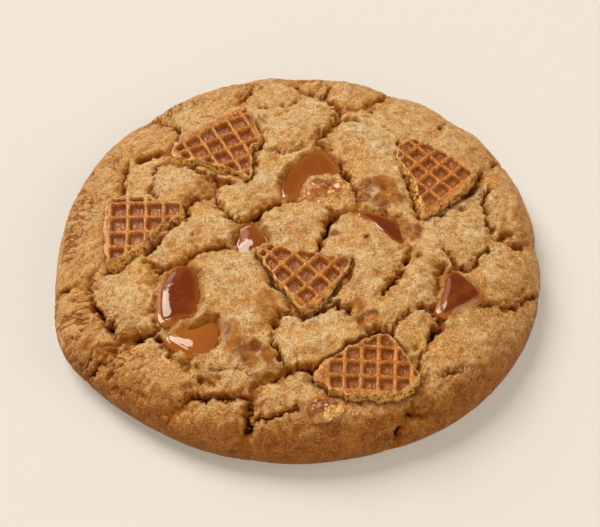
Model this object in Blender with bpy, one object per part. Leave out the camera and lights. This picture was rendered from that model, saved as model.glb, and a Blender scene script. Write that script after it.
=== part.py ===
"""A soft-baked cookie with five broken pieces of stroopwafel, six caramel pools and two caramel chunks.

Sizes are in millimetres until they reach Blender. The origin is the middle of the flat base, +Z is up and
-Y is the front. Each piece sits in a socket of the dough with a gap of TOUCH_GAP round it.
"""

import math

import bmesh
import bpy
import numpy as np
from mathutils import Matrix, Vector

MM = 0.001

# Driving dimensions of the dough.
DOUGH_RADIUS = 54.2
DOUGH_HEIGHT = 17.3
WIDEST_HEIGHT = 4.5
BASE_RADIUS = 48.5
DOME_POWER = 3.4
OUTLINE_WANDER = 0.7
PLATE_PUFF = 1.1
PLATE_REACH = 4.0
CRACK_WANDER = 0.45
GRID_CELLS = 190
DOUGH_TRIANGLES = 4350

# The pieces on the dough.
TOUCH_GAP = 0.35
CUTTER_TOP = 12.0
WAFER_THICKNESS = 4.2
WELL_DEPTH = 1.1
WELL_TAPER = 0.35
WELL_BORDER = 0.5
RIB_WIDTH = 1.0
POOL_THICKNESS = 2.4
POOL_ROUNDING = 0.6

# Where the outline leaves its circle: direction in degrees, amount, and spread in degrees.
OUTLINE_SWELLS = (
    (-149, 2.2, 15), (-55, 1.2, 24), (0, -0.7, 14), (58, -0.8, 16), (122, -0.5, 22), (180, -1.1, 17),
)

# Each crack of the dough's face: depth, half width and the points (x, y) that it passes through.
CRACKS = (
    (3.0, 1.1, ((9.7, 36), (9.7, 33), (10, 31.2), (8.5, 29.6), (7.6, 28), (6.2, 26.6), (5.7, 24.2),
                (3.6, 21.5))),
    (1.8, 1.0, ((-0.5, 50), (0.2, 45), (1.8, 42.4), (4.3, 41.6), (5.9, 40.2), (7.7, 38), (9.4, 36))),
    (2.6, 1.4, ((16.4, 35.6), (17.2, 38.3), (19.3, 41), (21.3, 44.5), (23, 49))),
    (2.0, 0.8, ((9.4, 35.9), (12, 35.7), (14.6, 36), (16.4, 35.6))),
    (1.8, 1.0, ((-14.2, 38.4), (-12.6, 41), (-11.2, 42.4), (-10, 46))),
    (1.8, 1.0, ((-9.4, 29.8), (-9, 27), (-8, 24.5), (-8.8, 21.5), (-9.5, 18))),
    (1.6, 0.8, ((-8.8, 21.2), (-6.3, 20), (-3.8, 19.3), (-1.8, 19.5), (0, 20.6), (2, 21.2))),
    (2.2, 0.8, ((5.2, 21.8), (7, 20), (8.3, 18), (9.7, 15.9), (10.7, 13), (11.4, 9.5), (13.4, 3.2),
                (12.8, 1.4))),
    (1.8, 0.8, ((12.8, 1.2), (10.4, 1.1), (8, 0), (7, -2), (6.4, -4), (5.8, -6), (4.3, -9.8))),
    (2.0, 0.8, ((-1, 5.2), (-3.5, 4.6), (-5.4, 3.4), (-7.4, 2), (-8.6, 0.2), (-11, -0.8), (-14, -1))),
    (1.8, 0.8, ((-14, -1), (-15, 0.3), (-16.6, 2.2), (-17.6, 4.5), (-18.2, 6.4))),
    (1.9, 0.8, ((-25.2, 2.4), (-23.6, 4.6), (-22.6, 5.6), (-20, 5.6), (-18.2, 6.4), (-17.6, 10.8))),
    (2.2, 0.9, ((-32.5, -11.5), (-30.3, -13.3), (-28.4, -14.8), (-24, -12.6), (-21.3, -10), (-15.2, -8.9))),
    (2.0, 0.8, ((-44.6, -13.6), (-43.8, -16.5), (-41.9, -21), (-40.2, -24), (-38.2, -26.6), (-36.2, -30.4))),
    (2.2, 0.9, ((-47, -33.4), (-43.8, -34), (-41.5, -33.6), (-39, -32.4), (-36, -30.3), (-29.6, -29.8))),
    (1.8, 0.9, ((-28.4, -14.8), (-29.4, -17), (-29.6, -20.5), (-29.2, -24), (-28.6, -27.5), (-29.2, -29.6))),
    (1.6, 0.8, ((-28.4, -31), (-26.4, -33.6), (-24.2, -36.4), (-21, -39.4), (-19.4, -41.6), (-16.6, -42.3))),
    (2.2, 0.8, ((-26, -46.6), (-22, -45), (-20.4, -44.1), (-17.5, -43.8), (-14, -44.5), (-9.3, -44.8))),
    (3.0, 1.1, ((-7.8, -42.6), (-9.2, -44.8), (-9.2, -47.6), (-10, -50), (-10.2, -52), (-9.6, -57))),
    (2.6, 0.9, ((-7.8, -42.6), (-6.2, -41.6), (-4.2, -40.8), (-2, -39.8), (0.8, -38.9), (5, -38.6))),
    (1.7, 0.8, ((-0.5, -26), (-3, -26.2), (-5, -29.2), (-5.4, -31.5), (-4.8, -34), (-2, -39.6))),
    (1.8, 0.8, ((6, -24.6), (8.6, -24.6), (10.6, -26), (13.6, -29.6), (15.4, -31), (19.6, -30))),
    (1.7, 0.8, ((23.8, -9.2), (24.2, -10.6), (22.8, -12.8), (21.6, -15.6), (20.2, -18.2), (16.8, -22))),
    (2.0, 0.9, ((31.6, -13.4), (30.2, -16), (29.4, -19), (29.2, -22), (28.6, -25), (30, -26.8))),
    (2.0, 1.0, ((30, -26.8), (28.4, -29), (27, -32), (25.4, -34), (24.4, -36.6), (25.6, -39.6))),
    (2.8, 0.9, ((24.4, -45.8), (22.8, -46.8), (21.9, -48.2), (20.5, -49.7), (19.6, -51.2), (18, -57))),
    (2.2, 0.8, ((53.5, -12), (49.6, -16.4), (47.5, -18.6), (44.2, -21.4), (42, -20.8), (38.6, -22))),
    (2.0, 0.9, ((43, -3.8), (41.8, -6.4), (39.2, -9.4), (36.4, -13.8), (34.4, -13.4), (31.4, -9.2))),
    (2.0, 0.8, ((42.6, 10), (41.3, 6), (41.9, 3.8), (42.2, 1), (42.8, -1.8), (43, -3.8))),
    (2.4, 0.9, ((43, -3.8), (45.5, -3.2), (47.2, -4.6), (49, -3.8), (51, -1.6), (57, 3))),
    (2.2, 0.8, ((49, 26), (46, 22.6), (44.6, 19.8), (43, 18.3), (42.2, 16), (41, 14.4))),
    (2.0, 0.8, ((-36, 19.3), (-31.8, 20.8), (-28.8, 21.4), (-27.7, 27), (-28.2, 29.6), (-32.4, 34),
                (-35, 38))),
    (1.6, 0.8, ((-39, 19.4), (-39.2, 15), (-39.7, 11.6), (-39.4, 8.4))),
    (1.6, 0.7, ((-53, -14), (-50, -14.6), (-48, -15.1), (-45.6, -14.2))),
    # Hollows along the sides of the wafers that stand clear of the dough.
    (1.7, 1.5, ((-26.5, 15.6), (-21.5, 13.4), (-16.5, 10.6), (-12, 9.8), (-9.9, 12.5), (-9.6, 17))),
    (1.7, 1.5, ((-24.2, 1), (-27, -3), (-30.5, -7.5), (-33.5, -10.8), (-37, -12.4), (-40.5, -13.4))),
    (1.7, 1.4, ((-5.8, -18), (-2, -23.5), (1.6, -28), (5, -25.4), (8.6, -20.6), (11.6, -16.4),
                (12.2, -13.6))),
    (1.7, 1.5, ((24, 12), (25.6, 5), (27, -1.4), (31, 0.2), (35.5, 5), (39.5, 11), (41.2, 15))),
    (1.4, 1.3, ((6, -43.6), (9.5, -45), (14, -45.8), (19, -45.4), (23, -43.2), (25.6, -40.4))),
)

# Each wafer: middle of its top (x, y, z), heading and forward lean in degrees, rib pitch, one rib crossing
# (u, v), the direction in which its broken side runs out and how far, and the outline (u, v) of its top,
# anticlockwise.
WAFERS = {
    "wafer_back_left": dict(
        middle=(-18.0, 20.5, 18.8), heading=28, lean=1, pitch=3.95, crossing=(1.4, 2.2), foot=(-130, 1.2),
        outline=(
            (-10.8, 2.6), (-9.9, 0.5), (-7.2, -0.6), (-5.8, -1.8), (-4.6, -2.9), (-3.5, -4.5), (-1.8, -6.4),
            (-0.6, -8.0), (0.2, -9.5), (1.0, -11.2), (2.2, -11.9), (3.6, -10.2), (4.6, -8.0), (5.6, -5.4),
            (6.6, -3.4), (10.0, -2.8), (10.3, -1.2), (10.0, 1.0), (10.9, 2.2), (11.3, 6.0), (11.2, 8.2),
            (10.0, 8.8), (6.0, 8.5), (3.0, 8.1), (-2.6, 6.9), (-7.6, 5.8), (-9.2, 4.6),
        ),
    ),
    "wafer_left": dict(
        middle=(-35.0, -1.5, 18.3), heading=2, lean=5, pitch=3.9, crossing=(2.0, 0.6), foot=(-45, 1.9),
        outline=(
            (-6.9, 6.2), (-7.0, 2.0), (-6.9, -3.0), (-6.6, -8.0), (-5.8, -11.6), (-4.6, -10.6), (-2.5, -9.5),
            (-0.8, -8.3), (1.2, -7.1), (2.4, -5.8), (3.6, -3.6), (5.0, -2.2), (7.0, -0.6), (9.0, 0.5),
            (10.4, 1.8), (10.2, 3.4), (9.2, 4.6), (6.0, 5.0), (2.6, 5.6), (1.8, 6.5), (-1.5, 6.4),
            (-4.0, 6.0),
        ),
    ),
    "wafer_centre": dict(
        middle=(1.5, -17.0, 19.6), heading=45, lean=7, pitch=3.7, crossing=(-2.1, 0.8), foot=(-110, 0.5),
        outline=(
            (-2.0, 11.4), (-3.3, 11.0), (-4.4, 10.0), (-4.2, 8.8), (-5.0, 6.0), (-5.6, 3.0), (-6.0, 0.0),
            (-6.6, -3.2), (-7.0, -6.8), (-4.0, -7.6), (0.0, -7.2), (3.0, -6.6), (6.0, -6.0), (8.5, -5.4),
            (8.9, -4.5), (7.6, -2.2), (6.0, 0.2), (4.4, 2.4), (3.1, 4.3), (1.6, 6.5), (0.6, 8.4),
            (-0.8, 11.0),
        ),
    ),
    "wafer_right": dict(
        middle=(31.0, 11.5, 18.6), heading=43.5, lean=4, pitch=3.6, crossing=(-0.6, 1.6), foot=(165, 1.5),
        outline=(
            (-1.2, 11.4), (-2.2, 9.4), (-3.2, 7.5), (-4.0, 5.0), (-4.6, 2.4), (-6.2, 0.0), (-8.0, -2.4),
            (-9.6, -4.6), (-10.6, -6.4), (-7.0, -6.8), (-3.0, -7.0), (1.0, -6.9), (4.0, -6.4), (6.9, -5.6),
            (7.0, -3.0), (6.7, 0.0), (6.4, 3.0), (5.9, 6.0), (5.2, 8.4), (4.3, 11.6), (1.6, 11.8),
        ),
    ),
    "wafer_front": dict(
        middle=(14.5, -37.7, 15.9), heading=-3, lean=7, pitch=3.4, crossing=(-1.4, -0.1), foot=(-90, 0.4),
        outline=(
            (-11.2, -4.4), (-8.2, -5.6), (-7.6, -7.2), (-4.8, -7.0), (-4.2, -8.0), (-1.8, -8.0), (1.2, -7.4),
            (2.2, -8.1), (3.4, -7.4), (5.8, -7.2), (7.5, -6.0), (9.2, -5.0), (10.6, -2.8), (9.4, -1.0),
            (8.0, 1.2), (6.4, 3.8), (5.0, 5.4), (4.2, 6.2), (2.2, 6.6), (0.4, 5.6), (-1.8, 5.0), (-2.6, 3.8),
            (-4.6, 3.6), (-5.2, 2.0), (-7.0, 0.8), (-9.2, -0.3), (-10.4, -2.2),
        ),
    ),
}

# Each caramel pool: height of its face and its outline (x, y), anticlockwise.
POOLS = {
    "caramel_left": (
        16.3,
        ((-23, -14.2), (-25.2, -14.6), (-27.2, -16.2), (-28.4, -19), (-28.7, -22), (-28.2, -26),
         (-27.4, -28.6), (-25.4, -28.2), (-23.4, -27.4), (-21.2, -27), (-20.5, -24.5), (-20.3, -21),
         (-20.8, -18), (-21.8, -15.6)),
    ),
    "caramel_lower_left": (
        15.6,
        ((-19.2, -28), (-20.4, -30.2), (-23.6, -31.2), (-26.8, -31.8), (-26.2, -33.4), (-24, -35.8),
         (-21.6, -37.4), (-18.6, -36.8), (-16.6, -35.2), (-16, -32.6), (-16.4, -29.6), (-17.4, -28.2)),
    ),
    "caramel_right": (
        15.9,
        ((33, -14.2), (31.4, -16.4), (30.8, -20), (29.8, -23.2), (29.4, -25.2), (31, -26.2), (34, -24.4),
         (37, -22.6), (38.9, -20.6), (37.8, -18.2), (35.8, -16), (34.2, -14.2)),
    ),
    "caramel_back": (
        16.7,
        ((6.2, 20.2), (4.2, 20.8), (1.8, 18.8), (0, 16.2), (-2, 14), (-3.4, 11), (-3.8, 8), (-3.2, 6),
         (-1, 5.8), (0.6, 6.6), (0.6, 8.4), (1.6, 10.8), (3.6, 12.4), (6.2, 13), (9.2, 13), (9.2, 15.6),
         (7.8, 18)),
    ),
    "caramel_mid_right": (
        16.7,
        ((13.2, 1.2), (14.6, 0), (16.4, -1.2), (18, -3.4), (20, -5.8), (22, -7.4), (23.2, -7.6), (23.1, -4),
         (22, -1.2), (20.2, -0.2), (17.6, 1), (15.2, 1.6)),
    ),
    "caramel_mid_left": (
        16.9,
        ((-8.4, -1), (-11, -1.2), (-13.2, -2.6), (-13, -5), (-13.8, -7.2), (-12.8, -9.4), (-10.8, -10.6),
         (-9.6, -9.4), (-8, -8.6), (-6.2, -8), (-5.8, -6.6), (-6.8, -4.6), (-8.2, -3.2)),
    ),
}

# Each caramel chunk: middle (x, y, z), half sizes, and the seed of its lumps.
CHUNKS = {
    "chunk_back": ((7.1, 6.8, 16.8), (5.2, 4.5, 2.9), 3),
    "chunk_front": ((5.5, -47.6, 12.8), (3.3, 2.6, 3.0), 8),
}
CHUNK_LUMPS = 0.34

COLOURS = {
    "dough": (0.53, 0.29, 0.10, 1.0),
    "wafer": (0.45, 0.17, 0.05, 1.0),
    "caramel": (0.26, 0.06, 0.012, 1.0),
    "chunk": (0.40, 0.14, 0.04, 1.0),
}
ROUGHNESS = {"dough": 0.75, "wafer": 0.45, "caramel": 0.08, "chunk": 0.2}


def clear_scene():
    for old in list(bpy.data.objects):
        bpy.data.objects.remove(old, do_unlink=True)


# ---------------------------------------------------------------------------------------------- noise


def lattice_value(corner, seed):
    """A repeatable number from -1 to 1 for each whole-numbered corner."""
    mixed = corner[..., 0] * 374761393 + corner[..., 1] * 668265263 + corner[..., 2] * 1440662683
    mixed = (mixed + seed * 974634777) & 0xFFFFFFFF
    mixed = ((mixed ^ (mixed >> 13)) * 1274126177) & 0xFFFFFFFF
    return ((mixed ^ (mixed >> 16)) & 0xFFFF) / 32767.5 - 1.0


def smooth_noise(points, size, seed):
    """Smooth noise from -1 to 1 whose lumps are about this many millimetres apart."""
    scaled = np.asarray(points, float) / size
    cell = np.floor(scaled).astype(np.int64)
    part = scaled - np.floor(scaled)
    ease = part * part * (3.0 - 2.0 * part)
    total = np.zeros(len(scaled))
    for corner in np.ndindex(2, 2, 2):
        weight = np.prod(np.where(corner, ease, 1.0 - ease), axis=1)
        total += weight * lattice_value(cell + np.array(corner), seed)
    return total


# ---------------------------------------------------------------------------------------------- dough


def section_curve():
    """The dough's outer section from the middle of the top, over the rim, to the edge of the base."""
    turn = np.linspace(0.0, math.pi / 2, 400)
    upper_radius = DOUGH_RADIUS * np.sin(turn) ** (2.0 / DOME_POWER)
    upper_height = WIDEST_HEIGHT + (DOUGH_HEIGHT - WIDEST_HEIGHT) * np.cos(turn)
    lower_radius = BASE_RADIUS + (DOUGH_RADIUS - BASE_RADIUS) * np.cos(turn[1:])
    lower_height = WIDEST_HEIGHT * (1.0 - np.sin(turn[1:]))
    return np.concatenate([upper_radius, lower_radius]), np.concatenate([upper_height, lower_height])


def dough_grid():
    """Positions, outward normals and face coordinates of a square grid wrapped over the dough.

    A square's rings become circles, which leaves no pole. Face coordinates are x and y seen from above, and
    run on past the widest circle by the length of the underside, so that a crack can run down over the rim.
    """
    radius, height = section_curve()
    run = np.concatenate([[0.0], np.cumsum(np.hypot(np.diff(radius), np.diff(height)))])
    reach = np.maximum.accumulate(np.where(run <= run[np.argmax(radius)], radius, 0.0))
    reach = reach + np.maximum(run - run[np.argmax(radius)], 0.0)
    side = np.linspace(-1.0, 1.0, GRID_CELLS + 1)
    across, along = np.meshgrid(side, side)
    ring = np.maximum(np.abs(across), np.abs(along))
    wide = np.abs(across) >= np.abs(along)
    safe = np.where(ring > 0, ring, 1.0)
    quarter = math.pi / 4
    angle = np.where(wide, quarter * along / safe * np.sign(across), math.pi / 2 - quarter * across / safe)
    angle = np.where(wide & (across < 0), math.pi + quarter * along / safe * -1.0, angle)
    angle = np.where(~wide & (along < 0), -math.pi / 2 + quarter * across / safe, angle)
    travelled = ring * run[-1]
    slope_radius = np.interp(travelled, run, np.gradient(radius, run))
    slope_height = np.interp(travelled, run, np.gradient(height, run))
    length = np.hypot(slope_radius, slope_height)
    plan = np.interp(travelled, run, radius)
    face = np.interp(travelled, run, reach)
    cos, sin = np.cos(angle), np.sin(angle)
    position = np.stack([plan * cos, plan * sin, np.interp(travelled, run, height)], -1)
    outward = np.stack([-slope_height * cos, -slope_height * sin, slope_radius], -1) / length[..., None]
    coordinates = np.stack([face * cos, face * sin], -1)
    return position.reshape(-1, 3), outward.reshape(-1, 3), coordinates.reshape(-1, 2), ring.reshape(-1)


def distance_to_path(points, path):
    """Distance from each point to a path of straight stretches."""
    nearest = np.full(len(points), np.inf)
    for start, end in zip(path[:-1], path[1:]):
        start, end = np.array(start, float), np.array(end, float)
        stretch = end - start
        share = np.clip(((points - start) @ stretch) / (stretch @ stretch), 0.0, 1.0)
        nearest = np.minimum(nearest, np.linalg.norm(points - start - share[:, None] * stretch, axis=1))
    return nearest


def dough_relief(position, coordinates):
    """How far the surface stands out (plates) or in (cracks) from the smooth section."""
    wander = np.stack([smooth_noise(position, 2.4, seed) for seed in (11, 12)], -1) * CRACK_WANDER
    nearest = np.full(len(position), np.inf)
    cut = np.zeros(len(position))
    for depth, half_width, path in CRACKS:
        away = distance_to_path(coordinates + wander, path)
        nearest = np.minimum(nearest, away)
        cut = np.maximum(cut, depth * np.exp(-((away / half_width) ** 2)))
    plates = PLATE_PUFF * (1.0 - np.exp(-nearest / PLATE_REACH) * 1.6)
    swells = 0.5 * smooth_noise(position, 14.0, 5) + 0.35 * smooth_noise(position, 6.0, 6)
    return plates - cut + swells


def outline_change(angle):
    """How far the outline runs outside a circle in each direction."""
    change = OUTLINE_WANDER * (
        np.sin(2 * angle + 0.6) * 0.4 + np.sin(3 * angle + 2.1) * 0.35 + np.sin(5 * angle + 4.0) * 0.25
    )
    for direction, amount, spread in OUTLINE_SWELLS:
        turn = (np.degrees(angle) - direction + 180.0) % 360.0 - 180.0
        change = change + amount * np.exp(-((turn / spread) ** 2))
    return change


def displaced_dough():
    """Points of the cracked dough, with the ring at the base kept flat."""
    position, outward, coordinates, ring = dough_grid()
    change = outline_change(np.arctan2(position[:, 1], position[:, 0]))
    above_base = np.clip(position[:, 2] / WIDEST_HEIGHT, 0.0, 1.0)
    position = position + outward * (dough_relief(position, coordinates) * above_base)[:, None]
    share = np.clip(np.hypot(position[:, 0], position[:, 1]) / DOUGH_RADIUS, 0.0, 1.0) ** 4
    position[:, :2] *= (1.0 + change * share / DOUGH_RADIUS)[:, None]
    position[:, 2] = np.maximum(position[:, 2], 0.0)
    position[ring > 1.0 - 1e-9, 2] = 0.0
    return position


def make_dough():
    """The cracked upper skin, reduced in triangles and closed by one flat base."""
    row = GRID_CELLS + 1
    points = displaced_dough() * MM
    faces = [
        (i * row + j, i * row + j + 1, (i + 1) * row + j + 1, (i + 1) * row + j)
        for i in range(GRID_CELLS)
        for j in range(GRID_CELLS)
    ]
    mesh = bpy.data.meshes.new("dough")
    mesh.from_pydata(points.tolist(), [], faces)
    skin = bpy.data.objects.new("dough", mesh)
    bpy.context.scene.collection.objects.link(skin)
    fewer = skin.modifiers.new("fewer_triangles", "DECIMATE")
    fewer.ratio = DOUGH_TRIANGLES / (2 * GRID_CELLS**2)
    bpy.context.view_layer.update()
    reduced = bpy.data.meshes.new_from_object(skin.evaluated_get(bpy.context.evaluated_depsgraph_get()))
    skin.modifiers.remove(fewer)
    shell = bmesh.new()
    shell.from_mesh(reduced)
    edge = [e for e in shell.edges if e.is_boundary]
    for vertex in {v for e in edge for v in e.verts}:
        vertex.co.z = 0.0
    bmesh.ops.holes_fill(shell, edges=edge, sides=0)
    bmesh.ops.recalc_face_normals(shell, faces=shell.faces)
    shell.to_mesh(mesh)
    shell.free()
    mesh.shade_smooth()
    return skin


# ---------------------------------------------------------------------------------------------- prisms


def grown(outline, amount):
    """The outline with each corner moved out by this much, or in for a negative amount."""
    count = len(outline)
    moved = []
    for k in range(count):
        before, here, after = (Vector(outline[(k + step) % count]) for step in (-1, 0, 1))
        first, second = (here - before).normalized(), (after - here).normalized()
        out = (Vector((first.y, -first.x)) + Vector((second.y, -second.x))).normalized()
        lengthen = max(out.dot(Vector((second.y, -second.x))), 0.5)
        moved.append(tuple(here + out * (amount / lengthen)))
    return moved


def spread_foot(outline, towards, amount):
    """The outline of a broken side's foot, which runs out in one direction."""
    direction = Vector((math.cos(math.radians(towards)), math.sin(math.radians(towards))))
    count = len(outline)
    moved = []
    for k in range(count):
        before, here, after = (Vector(outline[(k + step) % count]) for step in (-1, 0, 1))
        edge = (after - before).normalized()
        facing = max(Vector((edge.y, -edge.x)).dot(direction), 0.0)
        moved.append(tuple(here + direction * (amount * facing)))
    return moved


def prism_mesh(name, levels):
    """A closed mesh through outlines of equal length, given as (height, outline) from the lowest up."""
    shape = bmesh.new()
    rings = [
        [shape.verts.new((x * MM, y * MM, height * MM)) for x, y in outline]
        for height, outline in levels
    ]
    count = len(rings[0])
    for lower, upper in zip(rings[:-1], rings[1:]):
        for k in range(count):
            shape.faces.new((lower[k], lower[(k + 1) % count], upper[(k + 1) % count], upper[k]))
    shape.faces.new(list(reversed(rings[0])))
    shape.faces.new(rings[-1])
    bmesh.ops.recalc_face_normals(shape, faces=shape.faces)
    bmesh.ops.triangulate(shape, faces=[face for face in shape.faces if len(face.verts) > 4])
    mesh = bpy.data.meshes.new(name)
    shape.to_mesh(mesh)
    shape.free()
    return mesh


def placed_object(name, mesh, matrix=None):
    made = bpy.data.objects.new(name, mesh)
    bpy.context.scene.collection.objects.link(made)
    if matrix is not None:
        made.matrix_world = matrix
    return made


def as_cutter(cutter):
    """Helpers aren't part of the model: they only shape it."""
    cutter.hide_render = True
    cutter.display_type = "WIRE"
    return cutter


def combine(target, cutter, operation="DIFFERENCE"):
    cut = target.modifiers.new(cutter.name, "BOOLEAN")
    cut.operation = operation
    cut.solver = "EXACT"
    cut.object = cutter


# ---------------------------------------------------------------------------------------------- wafers


def wafer_placement(wafer):
    """Turned by its heading about its own middle, then leaned towards -Y."""
    place = Matrix.Translation(Vector(wafer["middle"]) * MM)
    lean = Matrix.Rotation(math.radians(wafer["lean"]), 4, "X")
    return place @ lean @ Matrix.Rotation(math.radians(wafer["heading"]), 4, "Z")


def well_cells(wafer):
    """Middles of the grid's wells that reach into the outline's box."""
    pitch, (cross_u, cross_v) = wafer["pitch"], wafer["crossing"]
    us, vs = zip(*wafer["outline"])
    for i in range(math.floor((min(us) - cross_u) / pitch), math.ceil((max(us) - cross_u) / pitch)):
        for j in range(math.floor((min(vs) - cross_v) / pitch), math.ceil((max(vs) - cross_v) / pitch)):
            yield cross_u + (i + 0.5) * pitch, cross_v + (j + 0.5) * pitch


def wells_mesh(name, wafer):
    """One mesh of all the wells, each wider at its mouth than at its floor."""
    shape = bmesh.new()
    mouth = (wafer["pitch"] - RIB_WIDTH) / 2 + WELL_TAPER
    floor = mouth - 2 * WELL_TAPER
    for u, v in well_cells(wafer):
        rings = []
        for height, half in ((-WELL_DEPTH, floor), (WELL_DEPTH, mouth)):
            corners = ((-half, -half), (half, -half), (half, half), (-half, half))
            rings.append([shape.verts.new(((u + a) * MM, (v + b) * MM, height * MM)) for a, b in corners])
        for k in range(4):
            shape.faces.new((rings[0][k], rings[0][(k + 1) % 4], rings[1][(k + 1) % 4], rings[1][k]))
        shape.faces.new(list(reversed(rings[0])))
        shape.faces.new(rings[1])
    bmesh.ops.recalc_face_normals(shape, faces=shape.faces)
    mesh = bpy.data.meshes.new(name)
    shape.to_mesh(mesh)
    shape.free()
    return mesh


def make_wafer(name, wafer, dough):
    matrix = wafer_placement(wafer)
    foot = spread_foot(wafer["outline"], *wafer["foot"])
    body = placed_object(name, prism_mesh(name, ((-WAFER_THICKNESS, foot), (0.0, wafer["outline"]))), matrix)
    inside = grown(wafer["outline"], -WELL_BORDER)
    keep = prism_mesh(name + "_keep", ((-WAFER_THICKNESS / 2, inside), (WAFER_THICKNESS / 2, inside)))
    wells = as_cutter(placed_object(name + "_wells", wells_mesh(name + "_wells", wafer), matrix))
    combine(wells, as_cutter(placed_object(name + "_keep", keep, matrix)), "INTERSECT")
    combine(body, wells)
    socket = grown(foot, TOUCH_GAP)
    levels = ((-WAFER_THICKNESS - TOUCH_GAP, socket), (CUTTER_TOP, socket))
    combine(dough, as_cutter(placed_object(name + "_socket", prism_mesh(name + "_socket", levels), matrix)))
    return body


# ---------------------------------------------------------------------------------------------- caramel


def make_pool(name, face_height, outline, dough):
    """A puddle with a rounded edge, in a socket that is open above it."""
    bottom = face_height - POOL_THICKNESS
    levels = (
        (bottom, grown(outline, -POOL_ROUNDING)),
        (bottom + POOL_ROUNDING, outline),
        (face_height - POOL_ROUNDING / 2, outline),
        (face_height, grown(outline, -POOL_ROUNDING)),
    )
    pool = placed_object(name, prism_mesh(name, levels))
    socket = grown(outline, TOUCH_GAP)
    cut = prism_mesh(name + "_socket", ((bottom - TOUCH_GAP, socket), (DOUGH_HEIGHT + CUTTER_TOP, socket)))
    combine(dough, as_cutter(placed_object(name + "_socket", cut)))
    return pool


def lumpy_ball(name, middle, half_sizes, seed, allowance):
    """A flattened ball with lumps, grown on all sides by the allowance."""
    shape = bmesh.new()
    bmesh.ops.create_icosphere(shape, subdivisions=3, radius=1.0)
    directions = np.array([vertex.co.normalized() for vertex in shape.verts])
    lumps = 1.0 + CHUNK_LUMPS * smooth_noise(directions, 0.62, seed)
    for vertex, direction, lump in zip(shape.verts, directions, lumps):
        grown_half = np.array(half_sizes) * lump + allowance
        vertex.co = Vector((np.array(middle) + direction * grown_half) * MM)
    mesh = bpy.data.meshes.new(name)
    shape.to_mesh(mesh)
    shape.free()
    return mesh


def make_chunk(name, middle, half_sizes, seed, dough):
    chunk = placed_object(name, lumpy_ball(name, middle, half_sizes, seed, 0.0))
    socket = lumpy_ball(name + "_socket", middle, half_sizes, seed, 2 * TOUCH_GAP)
    combine(dough, as_cutter(placed_object(name + "_socket", socket)))
    return chunk


# ---------------------------------------------------------------------------------------------- finish


def finish_material(made, kind):
    """A material of its own for each piece, in the colour of its kind."""
    material = bpy.data.materials.new(made.name)
    material.use_nodes = True
    shader = material.node_tree.nodes["Principled BSDF"]
    shader.inputs["Base Color"].default_value = COLOURS[kind]
    shader.inputs["Roughness"].default_value = ROUGHNESS[kind]
    shader.inputs["Metallic"].default_value = 0.0
    made.data.materials.clear()
    made.data.materials.append(material)


def main():
    clear_scene()
    dough = make_dough()
    finish_material(dough, "dough")
    for name, wafer in WAFERS.items():
        finish_material(make_wafer(name, wafer, dough), "wafer")
    for name, (face_height, outline) in POOLS.items():
        finish_material(make_pool(name, face_height, outline, dough), "caramel")
    for name, (middle, half_sizes, seed) in CHUNKS.items():
        finish_material(make_chunk(name, middle, half_sizes, seed, dough), "chunk")


main()
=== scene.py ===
"""Looks of a soft-baked cookie with broken stroopwafel pieces and caramel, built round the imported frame.

Tables and shapes are in millimetres, and objects are in metres. -Y is the front and +Z is up.
"""

import math

import bmesh
import bpy
import numpy as np
from mathutils import Matrix, Vector


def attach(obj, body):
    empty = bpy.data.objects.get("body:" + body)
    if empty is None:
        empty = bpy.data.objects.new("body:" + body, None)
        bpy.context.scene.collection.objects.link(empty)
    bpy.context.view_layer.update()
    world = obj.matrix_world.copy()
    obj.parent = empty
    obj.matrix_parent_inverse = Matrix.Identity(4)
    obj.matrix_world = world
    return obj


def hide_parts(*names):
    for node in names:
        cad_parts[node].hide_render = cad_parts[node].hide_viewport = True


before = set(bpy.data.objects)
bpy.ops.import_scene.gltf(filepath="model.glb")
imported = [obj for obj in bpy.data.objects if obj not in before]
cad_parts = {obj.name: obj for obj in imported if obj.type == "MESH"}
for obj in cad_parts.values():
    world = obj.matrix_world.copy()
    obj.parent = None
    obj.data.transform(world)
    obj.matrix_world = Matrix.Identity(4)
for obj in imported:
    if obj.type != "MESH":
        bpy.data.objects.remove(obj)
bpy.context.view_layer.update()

MM = 0.001

# ------------------------------------------------------------------------------------------- measures

# The dough, as in the CAD source.
DOUGH_RADIUS = 54.2
DOUGH_HEIGHT = 17.3
WIDEST_HEIGHT = 4.5
BASE_RADIUS = 48.5
DOME_POWER = 3.4
OUTLINE_WANDER = 0.7
PLATE_PUFF = 1.45
CRACK_WANDER = 0.45
CRACK_NARROWING = 0.54
# Painted shade: sides that turn towards this direction, away from the key light, are painted in a darker, more
# saturated colour.
SHADED_SIDE = np.array((0.05, -0.86, -0.42))
# Painted shade: slopes that lean this way, away from the key light, are painted amber.
SLOPE_SHADE_SIDE = np.array((0.60, -0.70, 0.0))
OUTLINE_SWELLS = (
    (-149, 2.2, 15), (-55, 1.2, 24), (0, -0.7, 14), (58, -0.8, 16), (122, -0.5, 22), (180, -1.1, 17),
)

GRID_CELLS = 620
DOUGH_TRIANGLES = 190000
UNDERSIDE_RINGS = (0.985, 0.96, 0.9, 0.8, 0.65, 0.45, 0.2)

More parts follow.
